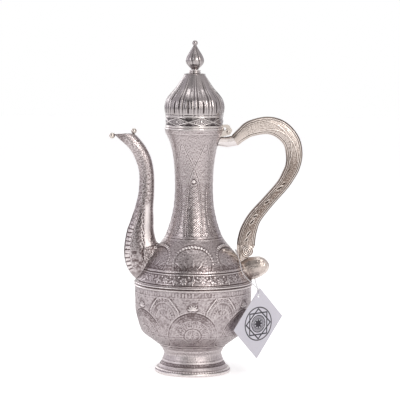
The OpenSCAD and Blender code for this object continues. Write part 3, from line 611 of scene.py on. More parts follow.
def shoulder_height(T, Z, R, S):
    arc = S - np.interp(BAND_Z, Z[:, 0], S[:, 0])
    neck = step(134, 140, Z)
    h = 0.1 * stipple(T * 44, S, 1.5) + 0.1 * scrolls(T * 40, S, 4.2, 1.5)
    h = over(h, neck, 0.12 * scrolls(T * 19, S, 3.4, 1.35) + 0.08 * stipple(T * 20, S, 1.3))
    h *= 1 - 0.55 * step(208, 222, Z)
    # slanted band of florals
    on_band = band(Z, 93.4, 103, 0.3)
    k, a = cell(T, TAU / 18, 0.5)
    mid = 98.2 + 1.2 * np.cos(k * 2.4)
    ground = -0.18 + 0.12 * stipple(T * 54, S, 1.4)
    bloom = 0.4 * flower(a * R, (Z - mid) * 1.1, 4.0, 7, k)
    _, a2 = cell(T, TAU / 18)
    x2 = np.abs(a2 * R)
    spray = 0.26 * leaf(x2 - 0.3, Z - mid + 4, 8, 1.4) + 0.22 * leaf(
        (Z - mid) + 0.35 * x2, x2 - 0.4, 5, 1.3)
    dots = 0.3 * dome(np.hypot(x2 - 4.2, Z - 101.2), 0.9)
    h = over(h, on_band, ground + np.maximum(np.maximum(bloom, spray), dots))
    h += ridges(Z, (104.3, 0.8, -0.45), (103.1, 0.6, 0.04), (93.2, 0.9, -0.45))
    _, a = cell(T, TAU / 150)
    h += 0.08 * dome(np.hypot(a * R, Z - 106), 0.85)
    # dome medallions on the shoulder
    x = panel(T, R)
    up = np.maximum(arc - 9.3, 0)
    d = np.hypot(x, up) - 19.3
    on_sh = band(Z, 107, 134, 0.3)
    inside = step(0.3, -0.3, d) * on_sh
    spray = sum(leaf(*turned_axes(x - at, arc - 7, lean), 8, 1.3)
                for at, lean in ((0, 0), (6, 0.5), (-6, -0.5), (11, 0.9), (-11, -0.9)))
    h = over(h, inside, -0.1 + 0.14 * stipple(x, arc, 1.25) + 0.1 * worn(x, arc, 6)
             + 0.16 * spray)
    h -= on_sh * 0.08 * bump(d + 0.6, 0.6)
    ang = np.arctan2(up, x)
    _, da = cell(ang, 0.155, 0.5)
    bead = np.hypot(d - 1.4, da * 20.7)
    high = step(0.62, 1.0, np.sin(ang))
    size = 0.8 + 0.95 * high
    h += on_sh * (0.25 + 0.4 * high) * dome(bead / size, 1.0) * (arc > 8)
    # ring between the shoulder and the neck
    h += ridges(Z, (136.2, 0.8, -0.12), (134.9, 0.7, 0.08), (239.6, 0.6, 0.12))
    # tall lancets up the neck
    half = np.interp(Z, [138, 146, 175, 192, 204], [7.6, 8.2, 6.2, 4.2, 0])
    dl = np.abs(x) - half
    tall = band(Z, 138.5, 204, 0.5)
    inside = step(0.3, -0.3, dl) * tall
    _, dz = cell(Z, 6.4)
    motif = (0.14 * wave(TAU * (Z - 0.9 * np.abs(x)) / 2.2) + 0.12 * worn(x, Z, 7) - 0.08
             + 0.2 * flower(x, dz, 2.3, 6))
    h = over(h, inside, motif)
    h += tall * ridges(dl, (0, 0.55, 0.18), (1.1, 0.6, -0.2))
    strokes = band(dl, -1.6, 3.0, 0.4) * band(Z, 139, 190, 3) * (1 - 0.3 * step(165, 190, Z))
    cutting = wave(TAU * (Z + 1.1 * np.abs(dl - 1)) / 1.9 + 2 * rough_field(x, Z, 4, 3))
    h -= 0.2 * strokes * cutting
    boss = np.hypot(x, Z - 192.4)
    front = cell(T, TAU / PANELS)[0] % 2 == 0
    h += front * (0.9 * dome(boss, 1.9) - 0.3 * bump(boss - 2.3, 0.7))
    between = panel(T, R, phase=0.5)
    _, dz = cell(Z, 7.4)
    h += band(Z, 140, 206, 2) * 0.3 * np.maximum(flower(between, dz, 2.2, 6) - 0.1, 0)
    # pendants under the mouth
    drop = 208 + 20 * np.abs(x) / 9.6
    d = (Z - drop) * 0.5
    h += band(Z, 208, 229, 0.4) * ridges(d, (0, 0.5, 0.16), (-1, 0.6, -0.22))
    h += 0.12 * (flower(x, Z - 233, 2.6, 6) + flower(between, Z - 226, 3.2, 8))
    tone = (-0.02 - 0.03 * on_band - 0.2 * strokes * (cutting > 0.6)
            + ridges(Z, (93.1, 0.8, -0.25), (104.5, 1.1, -0.22))
            - 0.14 * band(Z, 105.5, 112, 1) * (0.6 + 0.4 * worn(x, Z)))
    return h, tone


turned("foot_rim_petals", "foot_rim", foot_rim_height, ENGRAVED, 800, 0.35,
       gain=2.2)
turned("foot_carved", "foot", foot_height, SATIN, 640, 0.35, gain=1.7)
turned("waist_ring_lines", "waist_ring", waist_ring_height, ENGRAVED, 480, 0.25)
turned("bowl_carved", "bowl", bowl_height, SATIN, 820, 0.42, depth=0.75, gain=1.5)
turned("body_carved", "upper_body", shoulder_height, ENGRAVED, 820, 0.42, wear=0.08, gain=1.9)

# ---- Swept pieces ----


def ellipse(lo, hi, b, n, flat=1.0):
    """The CAD source's evenly spaced ring round the segment from lo to hi, from hi by the front."""
    a = np.arange(n * 6) / (n * 6) * TAU
    c = np.sign(np.cos(a)) * np.abs(np.cos(a)) ** flat
    s = np.sign(np.sin(a)) * np.abs(np.sin(a)) ** flat
    m, h = (np.array(lo) + hi) / 2, (np.array(hi) - lo) / 2
    ring = np.stack([m[0] + h[0] * c, -b * s, m[1] + h[1] * c], 1)
    ring = np.vstack([ring, ring[:1]])
    d = lengths(ring)
    t = np.arange(n) / n * d[-1]
    return np.stack([np.interp(t, d, ring[:, k]) for k in range(3)], 1)


def swept(name, cad_names, P, height, mat, inner=None, out=1.0):
    """A carved skin over the rings P of the pot, which start at the hi side, front first. It moves
    by height(distance across, distance along, side, P), where side is 1 at the hi side and -1 at
    the lo side. inner is the rings of a tube's inside; without it both ends are closed. out = -1
    turns the skin round."""
    m, n = P.shape[:2]
    N = unit(np.cross(np.roll(P, -1, 1) - np.roll(P, 1, 1), np.gradient(P, axis=0))) * out
    s = lengths(P.mean(1))
    gap = np.linalg.norm(np.roll(P, -1, 1) - P, axis=2)
    total = gap.sum(1, keepdims=True)
    q = (np.cumsum(gap, 1) - gap) / total
    side = np.where(q <= 0.5, 1 - 4 * q, 4 * q - 3)
    S = np.repeat(s[:, None], n, 1)
    h, tone = height_and_tone(height(side * total / 4, S, side, P))
    h *= np.minimum(step(0, 1, S), step(0, 1, s[-1] - S))
    relief_and_painted_light = contrast(h, tone, 8, 2.6, 0.8)
    pts = (P + N * h[..., None]).reshape(-1, 3)
    flip = out < 0
    last = (m - 1) * n
    faces = [skin(m, n, flip=flip)]
    if inner is not None:
        at, k = len(pts), len(inner)
        pts = np.vstack([pts, inner.reshape(-1, 3)])
        faces += [skin(k, n, at, flip=not flip), skin(2, n, flip=not flip, apart=at),
                  skin(2, n, last, flip=flip, apart=at + (k - 1) * n - last)]
    j = np.arange(n)
    for row in (0, last) if inner is None else ():
        cap = np.stack([row + j, row + (j + 1) % n, np.full(n, len(pts))], -1)
        faces.append(cap[:, ::-1] if (row == 0) != flip else cap)
        pts = np.vstack([pts, pts[row:row + n].mean(0)])
    piece(name, pts, faces, mat, "pot", cad_names, relief_and_painted_light)


# sections of the spout: [out from the bowl, up from the band, lean, height, half width]
SPOUT = [[-5.6, 20.6, 17, 35.5, 12], [-5.2, 28.3, 0, 31, 11.4], [-5.1, 38.3, 0, 26.8, 10.4],
         [-6.8, 48.3, 0, 23, 9.4], [-8.6, 60.3, -2, 18.6, 8.2], [-10.6, 73.8, 0, 16, 7.2],
         [-11.2, 88.3, 0, 15, 6.6], [-10.3, 99.5, 8, 14.8, 6.5], [-7.6, 109.2, 17, 15.2, 6.5],
         [-2.4, 119.6, 27, 14.6, 6.6], [5.4, 128.6, 30, 14.8, 6.9], [12.6, 134.1, 3, 17.6, 6.6]]


def spout_rings(t, n, steps):
    """Rings of the spout's outside, or of its inside for a wall t."""
    rings = []
    for away, up, lean, high, wide in spline(SPOUT, steps):
        a = math.radians(lean)
        h = high / 2 * np.array([math.cos(a), math.sin(a)]) * (1 - 2 * t / high)
        m = np.array([-BOWL_R - away, BAND_Z + up])
        rings.append(ellipse(m - h, m + h, wide - t, n))
    return np.array(rings)


# the spout's outer edge in [x, z], from its foot up
SPOUT_EDGE = np.array([[-59.5, 92.7], [-63.8, 98.2], [-66.9, 104.5], [-68.8, 111.6],
                       [-69.6, 119.5], [-68.5, 132.4], [-66.5, 142.4], [-62.9, 152.4],
                       [-58.9, 164.7], [-55.6, 177.9], [-54.5, 192.4]])


def along_spout(x, z):
    """(distance along the spout's outer edge from its foot up, distance in from it)"""
    best, out = np.full(x.shape, 1e9), np.zeros(x.shape)
    for a, b, at in zip(SPOUT_EDGE, SPOUT_EDGE[1:], lengths(SPOUT_EDGE)):
        d = b - a
        t = np.clip(((x - a[0]) * d[0] + (z - a[1]) * d[1]) / (d @ d), 0, 1)
        far = np.hypot(x - a[0] - t * d[0], z - a[1] - t * d[1])
        out = np.where(far < best, at + t * np.linalg.norm(d), out)
        best = np.minimum(best, far)
    return out, best


def spout_marks(x, z):
    """(height, tone) of what runs on over the spout and its foot, seen from the side. The tone
    holds a painted dark reflection just inside the spout's outer edge.
    """
    s, d = along_spout(x, z)
    _, ds = cell(s - 0.1 * d, 4.4)
    rung = step(8, 12, s) * (1 - step(52, 66, s)) * band(d, 1.3, 6.0, 0.4)
    h = rung * (0.34 * dome(ds / 1.7, 1.0) - 0.1)
    h += step(8, 12, s) * (1 - step(60, 80, s)) * 0.14 * bump(d - 6.8, 0.5)
    # painted dark reflection: a dark line 0.9 to 1.7 mm inside the spout's outer edge as seen from
    # the front
    tone = -0.32 * step(10, 14, s) * (1 - step(66, 76, s)) * step(1.7, 0.9, d) + 0.02 * rung
    k, dz = cell(z, 3.6)
    off = (chance(k, 1) - 0.5) * 1.6
    low = band(z, 112, 168, 2) + 0.5 * band(z, 168, 192, 3)
    slit = low * bump(x + 50.3 + off, 0.85) * bump(dz, 1.2 + 0.9 * chance(k, 2))
    slit2 = low * bump(x + 49.7 - off, 0.7) * bump(dz - 1.6, 0.9)
    return h - 0.55 * slit - 0.35 * slit2, tone - 0.25 * slit - 0.15 * slit2


def spout_height(X, S, side, P):
    x, z = P[..., 0], P[..., 2]
    h = 0.13 * worn(X, S, 2) + 0.1 * scrolls(X, S, 3.2, 1.2) + 0.1 * stipple(X, S, 1.3) - 0.03
    # painted highlight: a strip up the spout on the side nearer the pot, its ornament mostly
    # smoothed away and its colour lightened
    bright = band(z, 119, 168, 3) * band(x, -48.2, -42.6, 0.6)
    h *= 1 - 0.85 * bright
    marks, tone = spout_marks(x, z)
    h = h + marks + band(z, 214, 234, 1) * 0.2 * leaf(X, S - (S[-1, 0] - 30), 18, 3.6)
    # painted highlights: the strip above, and a line along the spout's edge nearer the pot below
    # the mouth
    tone = tone + 0.25 * bright + 0.25 * step(0.72, 0.9, side) * (z < 215)
    tone = tone - 0.14 * step(222, 230, z) * step(-66, -72, x) - 0.04 * band(z, 166, 214, 4)
    # painted dark reflection: a darker strip beside the painted highlight
    return h, tone - 0.09 * band(z, 120, 168, 4) * band(x, -57, -47, 1.5)


HANDLE_HALF = 6             # half the thickness of the handle's strap


def handle_rings(n, steps):
    """Rings of the strap from the neck's socket over the arch to its foot."""
    foot_x, foot_z = 52.5, BAND_Z + 24.5
    hx, hz, reach = 33.6, 241.0, 99.5       # hinge, and the arch's farthest point
    # [x, z, height of the section]
    st = [[hx + 6.8, hz - 8.6, 11.6], [hx + 14.2, hz - 2.1, 13.4], [hx + 23, hz + 3.6, 16.2],
          [reach - 26.7, hz + 6.7, 17.5], [reach - 13.6, hz + 2.8, 18.2],
          [reach - 3.5, hz - 7.6, 17.4], [reach, hz - 20.6, 16.8], [reach - 1, hz - 32.6, 15],
          [reach - 4.9, hz - 41.9, 13.8], [reach - 11.5, hz - 52.9, 12.4],
          [reach - 24.8, hz - 68.4, 12.1], [foot_x + 8.5, foot_z + 27.3, 14],
          [foot_x + 2.8, foot_z + 15, 16.6], [foot_x + 0.4, foot_z + 5, 17.9],
          [foot_x, foot_z, 18]]
    line = spline(st, steps)
    d = unit(np.gradient(line[:, :2], axis=0))
    side = np.stack([-d[:, 1], d[:, 0]], 1)
    tilt = math.radians(31)
    first, last = np.array([-math.sin(tilt), math.cos(tilt)]), np.array([1.0, 0.0])
    for i in range(steps // 3):
        w = i / (steps // 3)
        side[i] = lerp(first, side[i], w)
        side[-1 - i] = lerp(last, side[-1 - i], w)
    half = unit(side) * line[:, 2:] / 2
    return np.array([ellipse(p - h, p + h, HANDLE_HALF, n, 0.62)
                     for p, h in zip(line[:, :2], half)])


def handle_height(X, S, side, P):
    # across is the distance from the strap's middle on its face, d that from its edge
    mid = P.mean(1, keepdims=True)
    across = ((P - mid) * unit(P[:, :1] - mid)).sum(2)
    d = np.abs(across).max(1, keepdims=True) - np.abs(across)
    out = np.abs(P[..., 1]) / HANDLE_HALF
    face = step(0.72, 0.86, out)
    fine = 0.09 * scrolls(across, S, 2.4, 0.9) + 0.08 * worn(across, S * 0.8, 6) - 0.02
    grain = 0.03 * np.cos(across * TAU / 1.5 + 2.5 * rough_field(across, S, 4, 2))
    h = face * (fine + grain) * step(1, 18, S)
    h += face * step(0, 10, S) * ridges(d, (1.7, 0.5, 0.26), (2.5, 0.5, -0.24),
                                        (3.3, 0.4, 0.12))
    # slits down the lower arm, and two lines that cross on the arch
    k, ds = cell(S, 6.2)
    u = across - (chance(k, 5) - 0.5) * 2.4 + (0.2 + 0.4 * chance(k, 6)) * ds
    slit = dome(np.hypot(u / 0.85, ds / (1.6 + 2.4 * chance(k, 7))), 1.0)
    slit = slit * band(S, 112, 262, 6) * (chance(k, 8) > 0.3)
    cross = bump(np.abs(np.abs(across) - 0.16 * np.abs(S - 62)) - 0.2, 0.5)
    h = h - 0.65 * slit + face * 0.2 * cross * band(S, 36, 88, 3)
    # painted light: the strap's side faces are painted dark as a dark reflection, along the outer
    # edge and, below the upper arm, along the inner edge, and the upper arm is painted lighter as a
    # highlight; the strap is also a little darker from 85 to 180 mm along it
    rim = 1 - step(0.62, 0.8, out)
    top = 1 - step(60, 95, S)
    tone = 0.1 * top - 0.03 - 0.1 * band(S, 85, 180, 12) - 0.5 * slit
    tone -= rim * (0.26 * (across > 0) + 0.2 * (across < 0) * (1 - top))
    return h, tone + face * ridges(d, (2.5, 0.6, -0.12), (1.7, 0.5, 0.1))


def saddle_height(P, N):
    x, y, z = P.T
    grown = step(15, 8, np.hypot(x + 38, z - 119))
    fine = 0.13 * worn(x, z, 3) + 0.08 * stipple(x, z, 1.3)
    h = fine * step(92, 112, z) + grown * (0.3 * scrolls(x, z, 4.0, 1.5) - 0.1)
    # the spout's marks run on over the saddle, and their tone brings the painted dark reflection
    # along the outer edge with them
    marks, tone = spout_marks(x, z)
    return h + marks, tone - 0.05


VOLUTE = (54.2, 122.5)      # middle of the handle's volute, [x, z]


def scroll_height(P, N):
    x, y, z = P.T
    dx, dz = x - VOLUTE[0], z - VOLUTE[1]
    rho, a = np.hypot(dx, dz), np.arctan2(dz, dx)
    flat = np.abs(N[:, 1]) > 0.7
    coil = 0.36 * wave(a + rho * TAU / 1.75) - 0.14
    h = flat * (step(6.0, 5.2, rho) * coil + ridges(rho, (5.9, 0.5, 0.26), (6.7, 0.5, -0.2)))
    edge = ridges(x - 43.5, (1.7, 0.5, 0.25), (2.7, 0.6, -0.25), (3.8, 0.5, 0.16))
    return h + flat * (1 - step(7.4, 6.6, rho)) * (0.12 * scrolls(x, z, 3.6, 1.3) - 0.05 + edge)


def leaf_height(P, N):
    """A plain rim round a finely worked field on each side."""
    x, y, z = P.T
    ny = np.abs(N[:, 1])
    rim = ny + 0.02 * np.cos(x * 0.9)
    inset = step(0.8, 0.9, rim) * (0.06 * stipple(x, z, 1.3) + 0.1 * worn(x, z) - 0.06)
    return (0.12 * bump(rim - 0.66, 0.12) * step(0.3, 0.5, ny) + inset,
            0.12 - 0.12 * bump(rim - 0.84, 0.05))


def spray_height(P, N):
    """Leaves that fan from the foot of the handle's leaf up the shoulder."""
    x, y, z = P.T
    away = np.abs(y)
    u = away * 0.64 + (z - 104) * 0.77
    v = -away * 0.77 + (z - 104) * 0.64
    _, dv = cell(v + 0.04 * u * u * 0.3, 3.1)
    return 0.26 * bump(dv, 1.3) - 0.04 + 0.14 * leaf(away, z - 92, 20, 5.5) + 0.06 * worn(y, z)


def cap_height(P, N):
    a = np.arctan2(P[:, 1], P[:, 0])
    scallop = np.abs(np.cos(6 * (a + math.radians(87))))
    return (N[:, 2] > 0.3) * (N[:, 2] < 0.85) * (0.1 * scallop - 0.1)


dressed("saddle_carved", "spout_saddle", saddle_height, ENGRAVED)
dressed("scroll_carved", "handle_scroll", scroll_height, WARM, edge=0.35)
dressed("leaf_carved", "handle_leaf", leaf_height, WARM, edge=0.4, gain=1.2,
        sharp=80)
dressed("spray_carved", "handle_bracket", spray_height, WARM)
dressed("cap_scalloped", "lid_cap", cap_height, FLUTED, "lid", 0.4)

AROUND = int(220 * FINE)    # points round a swept piece
swept("spout_carved", "spout", spout_rings(0, AROUND, int(32 * FINE)), spout_height, ENGRAVED,
      inner=spout_rings(1.2, AROUND, 4), out=-1)
swept("handle_carved", ["handle_front_half", "handle_back_half"],
      handle_rings(AROUND, int(40 * FINE) // 3 * 3), handle_height, WARM)


def make_lip():
    """The rolled tip of the mouth: its ball, with a short neck down into the spout's edge."""
    co, _, _ = cad("spout_lip")
    c = (co.min(0) + co.max(0)) / 2
    r = (co.max(0) - co.min(0)).max() / 2
    tip = spout_rings(0, 40, 4)[-1][20]
    reach = np.linalg.norm(tip - c)
    axis = (tip - c) / reach
    cut = 0.62                          # angle from the ball's pole at which the neck starts
    a = np.linspace(0, math.pi - cut, 22)
    along = np.r_[-r * np.cos(a), np.linspace(r * 0.86, reach + 0.5, 8)[1:]]
    wide = np.r_[r * np.sin(a), np.linspace(r * math.sin(cut), 0.75, 8)[1:]]
    n = 32
    t = (np.arange(n) / n * TAU)[None, :, None]
    across = np.array([0, 1.0, 0])
    P = c + along[:, None, None] * axis + wide[:, None, None] * (
        np.cos(t) * across + np.sin(t) * np.cross(axis, across))
    piece("lip_rolled", P, [skin(len(along), n)], GILT, "pot", "spout_lip")


make_lip()

# ---- Lid ----

LOZENGES, LOBES = 7, 12


def lid_band_height(T, Z, R, S):
    """A row of lozenges between two beads."""
    lo, hi = 247.5, 255.6
    inside = band(Z, lo, hi, 0.2)
    mid, half = (lo + hi) / 2, (hi - lo) / 2
    _, a = cell(T, TAU / LOZENGES, 0.285)
    p = np.abs(a) / (TAU / LOZENGES / 2)
    d = (np.abs((Z - mid) / half) - (1 - p)) * half * 0.93
    h = -0.16 + step(0.25, -0.25, d) * (0.14 + 0.12 * scrolls(a * R, Z, 3.0, 1.15))
    h = h + 0.26 * bump(d, 0.5) + 0.25 * dome(np.hypot(a * R, Z - mid), 1.2)
    corner = step(-0.2, 0.4, d - 1.0)
    cross = step(0.62, 0.9, p)
    h = inside * (h + corner * (0.1 * stipple(T * 28.5, Z, 1.2) - 0.2 * cross))
    h += ridges(Z, (hi + 0.3, 0.4, 0.2), (lo - 0.2, 0.4, 0.2))
    bright = 0.3 * (step(247.3, 246.8, Z) + step(256, 256.4, Z))
    return h, bright - 0.12 * inside * corner * cross


def dome_height(T, Z, R, S):
    """Lobes with a narrow rib between them, and a deep stroke in the foot of each."""
    f = (Z - 256.4) / 41.2                        # 0 at the dome's foot, 1 at its top
    turn = (T - math.radians(3)) / (TAU / LOBES)
    v = np.mod(turn, 1)
    fade = np.minimum(np.minimum(1, 0.25 + 3 * f), 0.08 + 2.6 * (1 - f))
    w = np.minimum(v, 1 - v)                      # 0 on the rib, 0.5 in the lobe's middle
    h = fade * ridges(w, (0, 0.09, 0.25), (0.13, 0.1, -0.5))
    h -= 0.45 * step(0.15, 0.5, w) * fade * step(0.28, 0.5, f)
    low = band(Z, 260.5, 271.5, 2.2)
    stroke = low * bump(w - 0.5, 0.1) * (0.4 + 0.6 * chance(np.floor(turn), 3))
    h = h - 0.6 * stroke - 0.2 * low * bump(w - 0.31, 0.07) - 0.3 * bump(Z - 258.2, 0.6)
    tone = 0.04 - 0.03 * band(Z, 259, 276, 3) - 0.34 * stroke - 0.05 * bump(w - 0.13, 0.06)
    return h, tone


def bud_height(T, Z, R, S):
    """Eight lobes that twist a little."""
    v = np.mod(T / (TAU / 8) + 0.35 + 0.012 * (Z - 312), 1)
    return -0.3 * band(Z, 304, 325, 1.5) * bump(np.abs(v - 0.5) - 0.5, 0.22)


turned("lid_band_carved", "lid_band", lid_band_height, FLUTED, 640, 0.22, body="lid")
turned("dome_fluted", "lid_dome", dome_height, FLUTED, 960, 0.3, body="lid", gain=1.1)
turned("finial_bud", "finial", bud_height, FLUTED, 200, 0.3, body="lid", lo=302.2, gain=1.2)

# ---- Card and thread ----

paper, tree, bsdf = material("card_stock", Roughness=0.55, Subsurface_Weight=0.35,
                             Subsurface_Radius=(1, 1, 1), Subsurface_Scale=0.0008)
fibre = noise(tree, 2500, 4)
stock = ramp(tree, [(0.3, (0.68, 0.66, 0.72)), (0.7, (0.75, 0.73, 0.79))], fibre)
printed = mixed(tree, attribute(tree, "ink"), stock, (0.02, 0.015, 0.025, 1))
link(printed, bsdf.inputs["Base Color"])
roughen(tree, bsdf, fibre, 0.15, 0.0001)

HOLE = np.array([64.842, -20.719, 79.6])
CARD_U = np.array([math.sqrt(0.5), math.sqrt(0.5), 0.0])     # across the card, to the right
CARD_N = np.array([math.sqrt(0.5), -math.sqrt(0.5), 0.0])    # towards the viewer
CARD_UP = np.array([0.0, 0.0, 1.0])


def card_ink(x, y):
    """A generic eight-pointed star in a ring, by distance from the card's middle."""
    def line(d, w):
        return step(w + 0.12, w - 0.12, np.abs(d))

    x, y = x / 1.5, (y + 0.6) / 1.3
    rho, a = np.hypot(x, y), np.arctan2(y, x)
    squares = [line(rho * np.cos(cell(a, TAU / 4, turn)[1]) - 8.2, 0.5) for turn in (0, 0.5)]
    rays = step(0.34, 0.2, np.abs(cell(a, TAU / 32)[1] * rho)) * (rho > 3.4) * (rho < 6.4)
    star = step(0.1, -0.1, rho - 2.2 - 1.3 * np.abs(np.cos(4 * a)))
    return np.max([np.maximum(*squares) * (rho < 12), line(rho - 12.6, 0.45),
                   line(rho - 6.4, 0.35), rays, star], 0)


def make_card():
    """The card, hung from the hole in its upper corner, printed on the front."""
    long, wide, thick = 53.6, 46.0, 0.5
    drop, tilt = 8.0, math.radians(2.6)           # of its upper corner
    corner_r, hole_r = 1.2, 1.6
    side = math.hypot(wide, long) / 2 * math.sin(tilt)
    a = -math.pi / 2 - math.atan2(wide, long) - tilt
    n, m = int(230 * FINE), int(268 * FINE)
    X, Y = np.meshgrid(np.linspace(0, long, m + 1), np.linspace(0, wide, n + 1), indexing="ij")
    # rounded corners
    cx, cy = np.clip(X, corner_r, long - corner_r), np.clip(Y, corner_r, wide - corner_r)
    d = np.hypot(X - cx, Y - cy)
    scale = np.where(d > corner_r, corner_r / np.maximum(d, 1e-9), 1)
    X, Y = cx + (X - cx) * scale, cy + (Y - cy) * scale

    def hung(x, y):
        return side + x * math.cos(a) - y * math.sin(a), drop + x * math.sin(a) + y * math.cos(a)

    # the hole: the points at its edge move onto it
    u, v = hung(X, Y)
    rho = np.hypot(u, v)
    keep = rho >= hole_r
    near = keep & (rho < hole_r + 0.35)
    u, v = (np.where(near, c / rho * hole_r, c) for c in (u, v))
    mid_u, mid_v = hung(long / 2, wide / 2)
    front = HOLE + u[..., None] * CARD_U + v[..., None] * CARD_UP + thick / 2 * CARD_N
    back = front - thick * CARD_N
    count = front.shape[0] * front.shape[1]
    q = skin(m + 1, n + 1, closed=False)[:, [0, 3, 2, 1]]
    q = q[keep.ravel()[q].all(1)]
    # side walls on every open edge
    e = np.concatenate([q[:, [0, 1]], q[:, [1, 2]], q[:, [2, 3]], q[:, [3, 0]]])
    _, inv, cnt = np.unique(np.sort(e, 1), axis=0, return_inverse=True, return_counts=True)
    open_ = e[cnt[inv.ravel()] == 1]
    walls = np.stack([open_[:, 1], open_[:, 0], open_[:, 0] + count, open_[:, 1] + count], 1)
    pts = np.vstack([front.reshape(-1, 3), back.reshape(-1, 3)])
    used, inv = np.unique(np.vstack([q, q[:, ::-1] + count, walls]), return_inverse=True)
    o = piece("card", pts[used], [inv.reshape(-1, 4)], paper, "tag", "hang_tag")
    marks = np.append(card_ink((u - mid_u).ravel(), (v - mid_v).ravel()), np.zeros(count))[used]
    ink = o.data.attributes.new("ink", "FLOAT", "POINT")
    ink.data.foreach_set("value", marks.astype(np.float32))
    o.data.polygons.foreach_set("use_smooth", np.zeros(len(o.data.polygons), bool))


make_card()

# the thread, from its knot round the handle's foot to the card's hole and back
ROUTE = np.array([[50.5, 9.4, 112.1], [46.5, 9.6, 116.6], [43.8, 8.8, 119.8], [42.2, 6, 122.2],
                  [41.6, 2.2, 123.2], [41.6, -2.2, 123.2], [42.4, -6.4, 122], [44.2, -10.4, 118.6],
                  [46, -15, 113.6], [47, -19.6, 108.6], [48.4, -22.6, 103.8], [51.6, -23.8, 99],
                  [56, -24.4, 94.8], [60.4, -24.6, 90.6], [64.17, -23.43, 87.3],
                  [65.97, -22.13, 83.1], [65.77, -21.63, 81], [65.27, -21.13, 80.15],
                  [64.87, -20.73, 79.95], [64.37, -20.23, 80.15], [63.97, -19.83, 81],
                  [63.77, -19.03, 82.8], [63.77, -13.03, 87.3], [63, -7, 89.6], [62.4, -1, 91.2],
                  [61.6, 4.4, 94.2], [59.2, 8.6, 100], [55, 9.8, 106.6], [51.2, 9.8, 111.2]])
THREAD_D = 0.0007           # metres

yarn, tree, bsdf = material("thread", Roughness=0.7)
link(ramp(tree, [(0.3, (0.62, 0.61, 0.63)), (0.7, (0.9, 0.89, 0.92))], noise(tree, 3000, 2)),
     bsdf.inputs["Base Color"])
route = spline(ROUTE, 4) * 0.001
curve = bpy.data.curves.new("thread", "CURVE")
curve.dimensions = "3D"
curve.bevel_depth = THREAD_D / 2
curve.bevel_resolution = 2
curve.use_fill_caps = True
run = curve.splines.new("POLY")
run.points.add(len(route) - 1)
for point, place in zip(run.points, route):
    point.co = (*place, 1)
curve.materials.append(yarn)
thread = placed("thread", curve)
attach(thread, "pot")
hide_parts("tag_thread")


def make_knot():
    """A small overhand knot where the thread's two ends meet."""
    steps, n = 60, 10
    t = np.arange(steps) / steps * TAU
    line = np.stack([1.0 * np.cos(t) * (1 + 0.35 * np.cos(3 * t)), 1.0 * np.sin(2 * t) * 0.7,
                     0.9 * np.sin(t) + 0.4 * np.cos(3 * t)], 1) * 0.62 + (ROUTE[0] + ROUTE[-1]) / 2
    d = unit(np.roll(line, -1, 0) - np.roll(line, 1, 0))
    a = unit(np.cross(d, np.array([0.31, 0.9, 0.3])))
    b = np.cross(d, a)
    turn = (np.arange(n) / n * TAU)[None, :, None]
    P = line[:, None] + 0.36 * (np.cos(turn) * a[:, None] + np.sin(turn) * b[:, None])
    return piece("thread_knot", P, [skin(steps + 1, n) % (steps * n)], yarn, "pot")


knot = make_knot()

# ---- CAD nodes that show as they are ----

SEEN_AS_THEY_ARE = {
    "neck_rim": SMOOTH, "handle_socket": SMOOTH, "finial_collar": SMOOTH, "finial_nut": SMOOTH,
    "spout_knob": GILT, "hinge_base": GILT, "hinge_pin": GILT, "lid_hinge_leaf": GILT,
    "lid_skirt": PLAIN}
for name, mat in SEEN_AS_THEY_ARE.items():
    for s in NODES[name].material_slots:
        s.material = mat

# ---- Floor, lights ----

FLOOR_GLOW = 0.46           # lifts the floor to white where the camera or the metal sees it


def seen(tree):
    """1 for what the camera sees directly, in metal or through glass, else 0."""
    path = node(tree, "LightPath")
    out = path.outputs["Is Camera Ray"]
    for other in ("Is Glossy Ray", "Is Transmission Ray"):
        either = node(tree, "Math")
        either.operation = "MAXIMUM"
        link(out, either.inputs[0])
        link(path.outputs[other], either.inputs[1])
        out = either.outputs[0]
    return out


mat, tree, bsdf = material("floor", Base_Color=(0.92, 0.92, 0.92, 1), Roughness=0.9)
dim, both = node(tree, "MixShader"), node(tree, "AddShader")
for a, b in ((seen(tree), dim.inputs[0]),
             (node(tree, "Emission", Strength=0).outputs[0], dim.inputs[1]),
             (node(tree, "Emission", Strength=FLOOR_GLOW).outputs[0], dim.inputs[2]),
             (dim.outputs[0], both.inputs[0]), (bsdf.outputs[0], both.inputs[1]),
             (both.outputs[0], tree.nodes["Material Output"].inputs["Surface"])):
    link(a, b)
mesh = bpy.data.meshes.new("floor")
mesh.from_pydata([(-6, -6, 0), (6, -6, 0), (6, 6, 0), (-6, 6, 0)], [], [(0, 1, 2, 3)])
mesh.materials.append(mat)
placed("floor", mesh)

world = bpy.context.scene.world = bpy.data.worlds.new("studio")
world.use_nodes = True
tree = world.node_tree
sky = mixed(tree, seen(tree), (0.56, 0.55, 0.56, 1), (1, 1, 1, 1))
link(sky, tree.nodes["Background"].inputs["Color"])


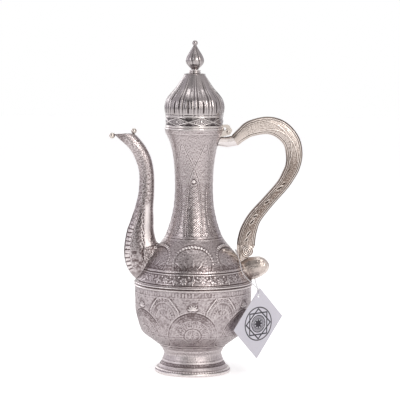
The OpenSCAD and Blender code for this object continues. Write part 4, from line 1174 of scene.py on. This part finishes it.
def studio_walls():
    """The room in front of the ewer as its metal shows it: pale sides, a dark gap and a bright
    window beside it. It is open towards the white background behind the ewer."""
    side = 148                          # degrees from the front at which the walls end
    stops = [(-side, (0.66, 0.63, 0.71)), (-120, (0.76, 0.73, 0.79)), (-92, (0.64, 0.615, 0.67)),
             (-60, (0.66, 0.64, 0.67)), (-42, (0.1, 0.1, 0.1)), (-9, (0.06, 0.06, 0.06)),
             (2, (1.45, 1.42, 1.38)), (40, (1.25, 1.22, 1.19)), (72, (0.78, 0.76, 0.75)),
             (112, (0.78, 0.76, 0.78)), (135, (0.82, 0.79, 0.85)), (side, (0.66, 0.63, 0.71))]
    az, el = np.linspace(-side, side, 149), np.linspace(-1, 76, 27)
    A, E = np.meshgrid(np.radians(az), np.radians(el))
    P = 4.5 * np.stack([np.cos(E) * np.sin(A), -np.cos(E) * np.cos(A), np.sin(E)], -1)

    def across(places, values):
        return np.interp(az, places, values)[None, :, None]

    def upward(places, values):
        return np.interp(el, places, values)[:, None, None]

    wall = np.concatenate([across([s[0] for s in stops], [s[1][k] for s in stops])
                           for k in range(3)], 2)
    ceiling = across([-20, 60], [0.66, 0.92]) * np.array([1, 0.97, 0.985])
    mix = upward([0, 30, 60], [0, 0.15, 0.8])
    left = 1 + 0.3 * upward([4, 20], [0, 1]) * across([-70, -45], [1, 0])
    colour = (wall * (1 - mix) + ceiling * mix) * upward([0, 18, 40, 76], [1, 1, 0.8, 0.7]) * left
    me = bpy.data.meshes.new("studio_walls")
    me.from_pydata(P.reshape(-1, 3).tolist(), [], skin(len(el), len(az), closed=False).tolist())
    c = me.color_attributes.new("wall", "FLOAT_COLOR", "POINT")
    c.data.foreach_set("color", np.concatenate(
        [colour, np.ones(colour.shape[:2] + (1,))], 2).astype(np.float32).ravel())
    mat, tree, _ = material("studio_walls")
    shine = node(tree, "Emission")
    link(attribute(tree, "wall", "Color"), shine.inputs["Color"])
    link(shine.outputs[0], tree.nodes["Material Output"].inputs["Surface"])
    me.materials.append(mat)
    o = placed("studio_walls", me)
    o.visible_camera = o.visible_diffuse = o.visible_shadow = o.visible_transmission = False


studio_walls()


def lamp(name, at, to, size, power, colour=(1, 1, 1)):
    data = bpy.data.lights.new(name, "AREA")
    data.shape = "RECTANGLE"
    data.size, data.size_y = size
    data.energy, data.color = power, colour
    o = placed(name, data)
    o.location = at
    o.rotation_euler = (Vector(to) - Vector(at)).to_track_quat("-Z", "Y").to_euler()


lamp("key", (0.75, -1.25, 0.95), (0, 0, 0.16), (0.35, 0.7), 6, (1, 0.98, 0.96))
lamp("fill", (-1.2, -0.8, 0.8), (0, 0, 0.16), (0.5, 0.8), 3, (0.97, 0.98, 1))
lamp("back", (-0.9, 1.1, 0.7), (0.05, 0, 0.1), (0.5, 0.8), 2.5)
lamp("top", (0, -0.1, 1.5), (0, 0, 0.1), (0.6, 0.6), 2)
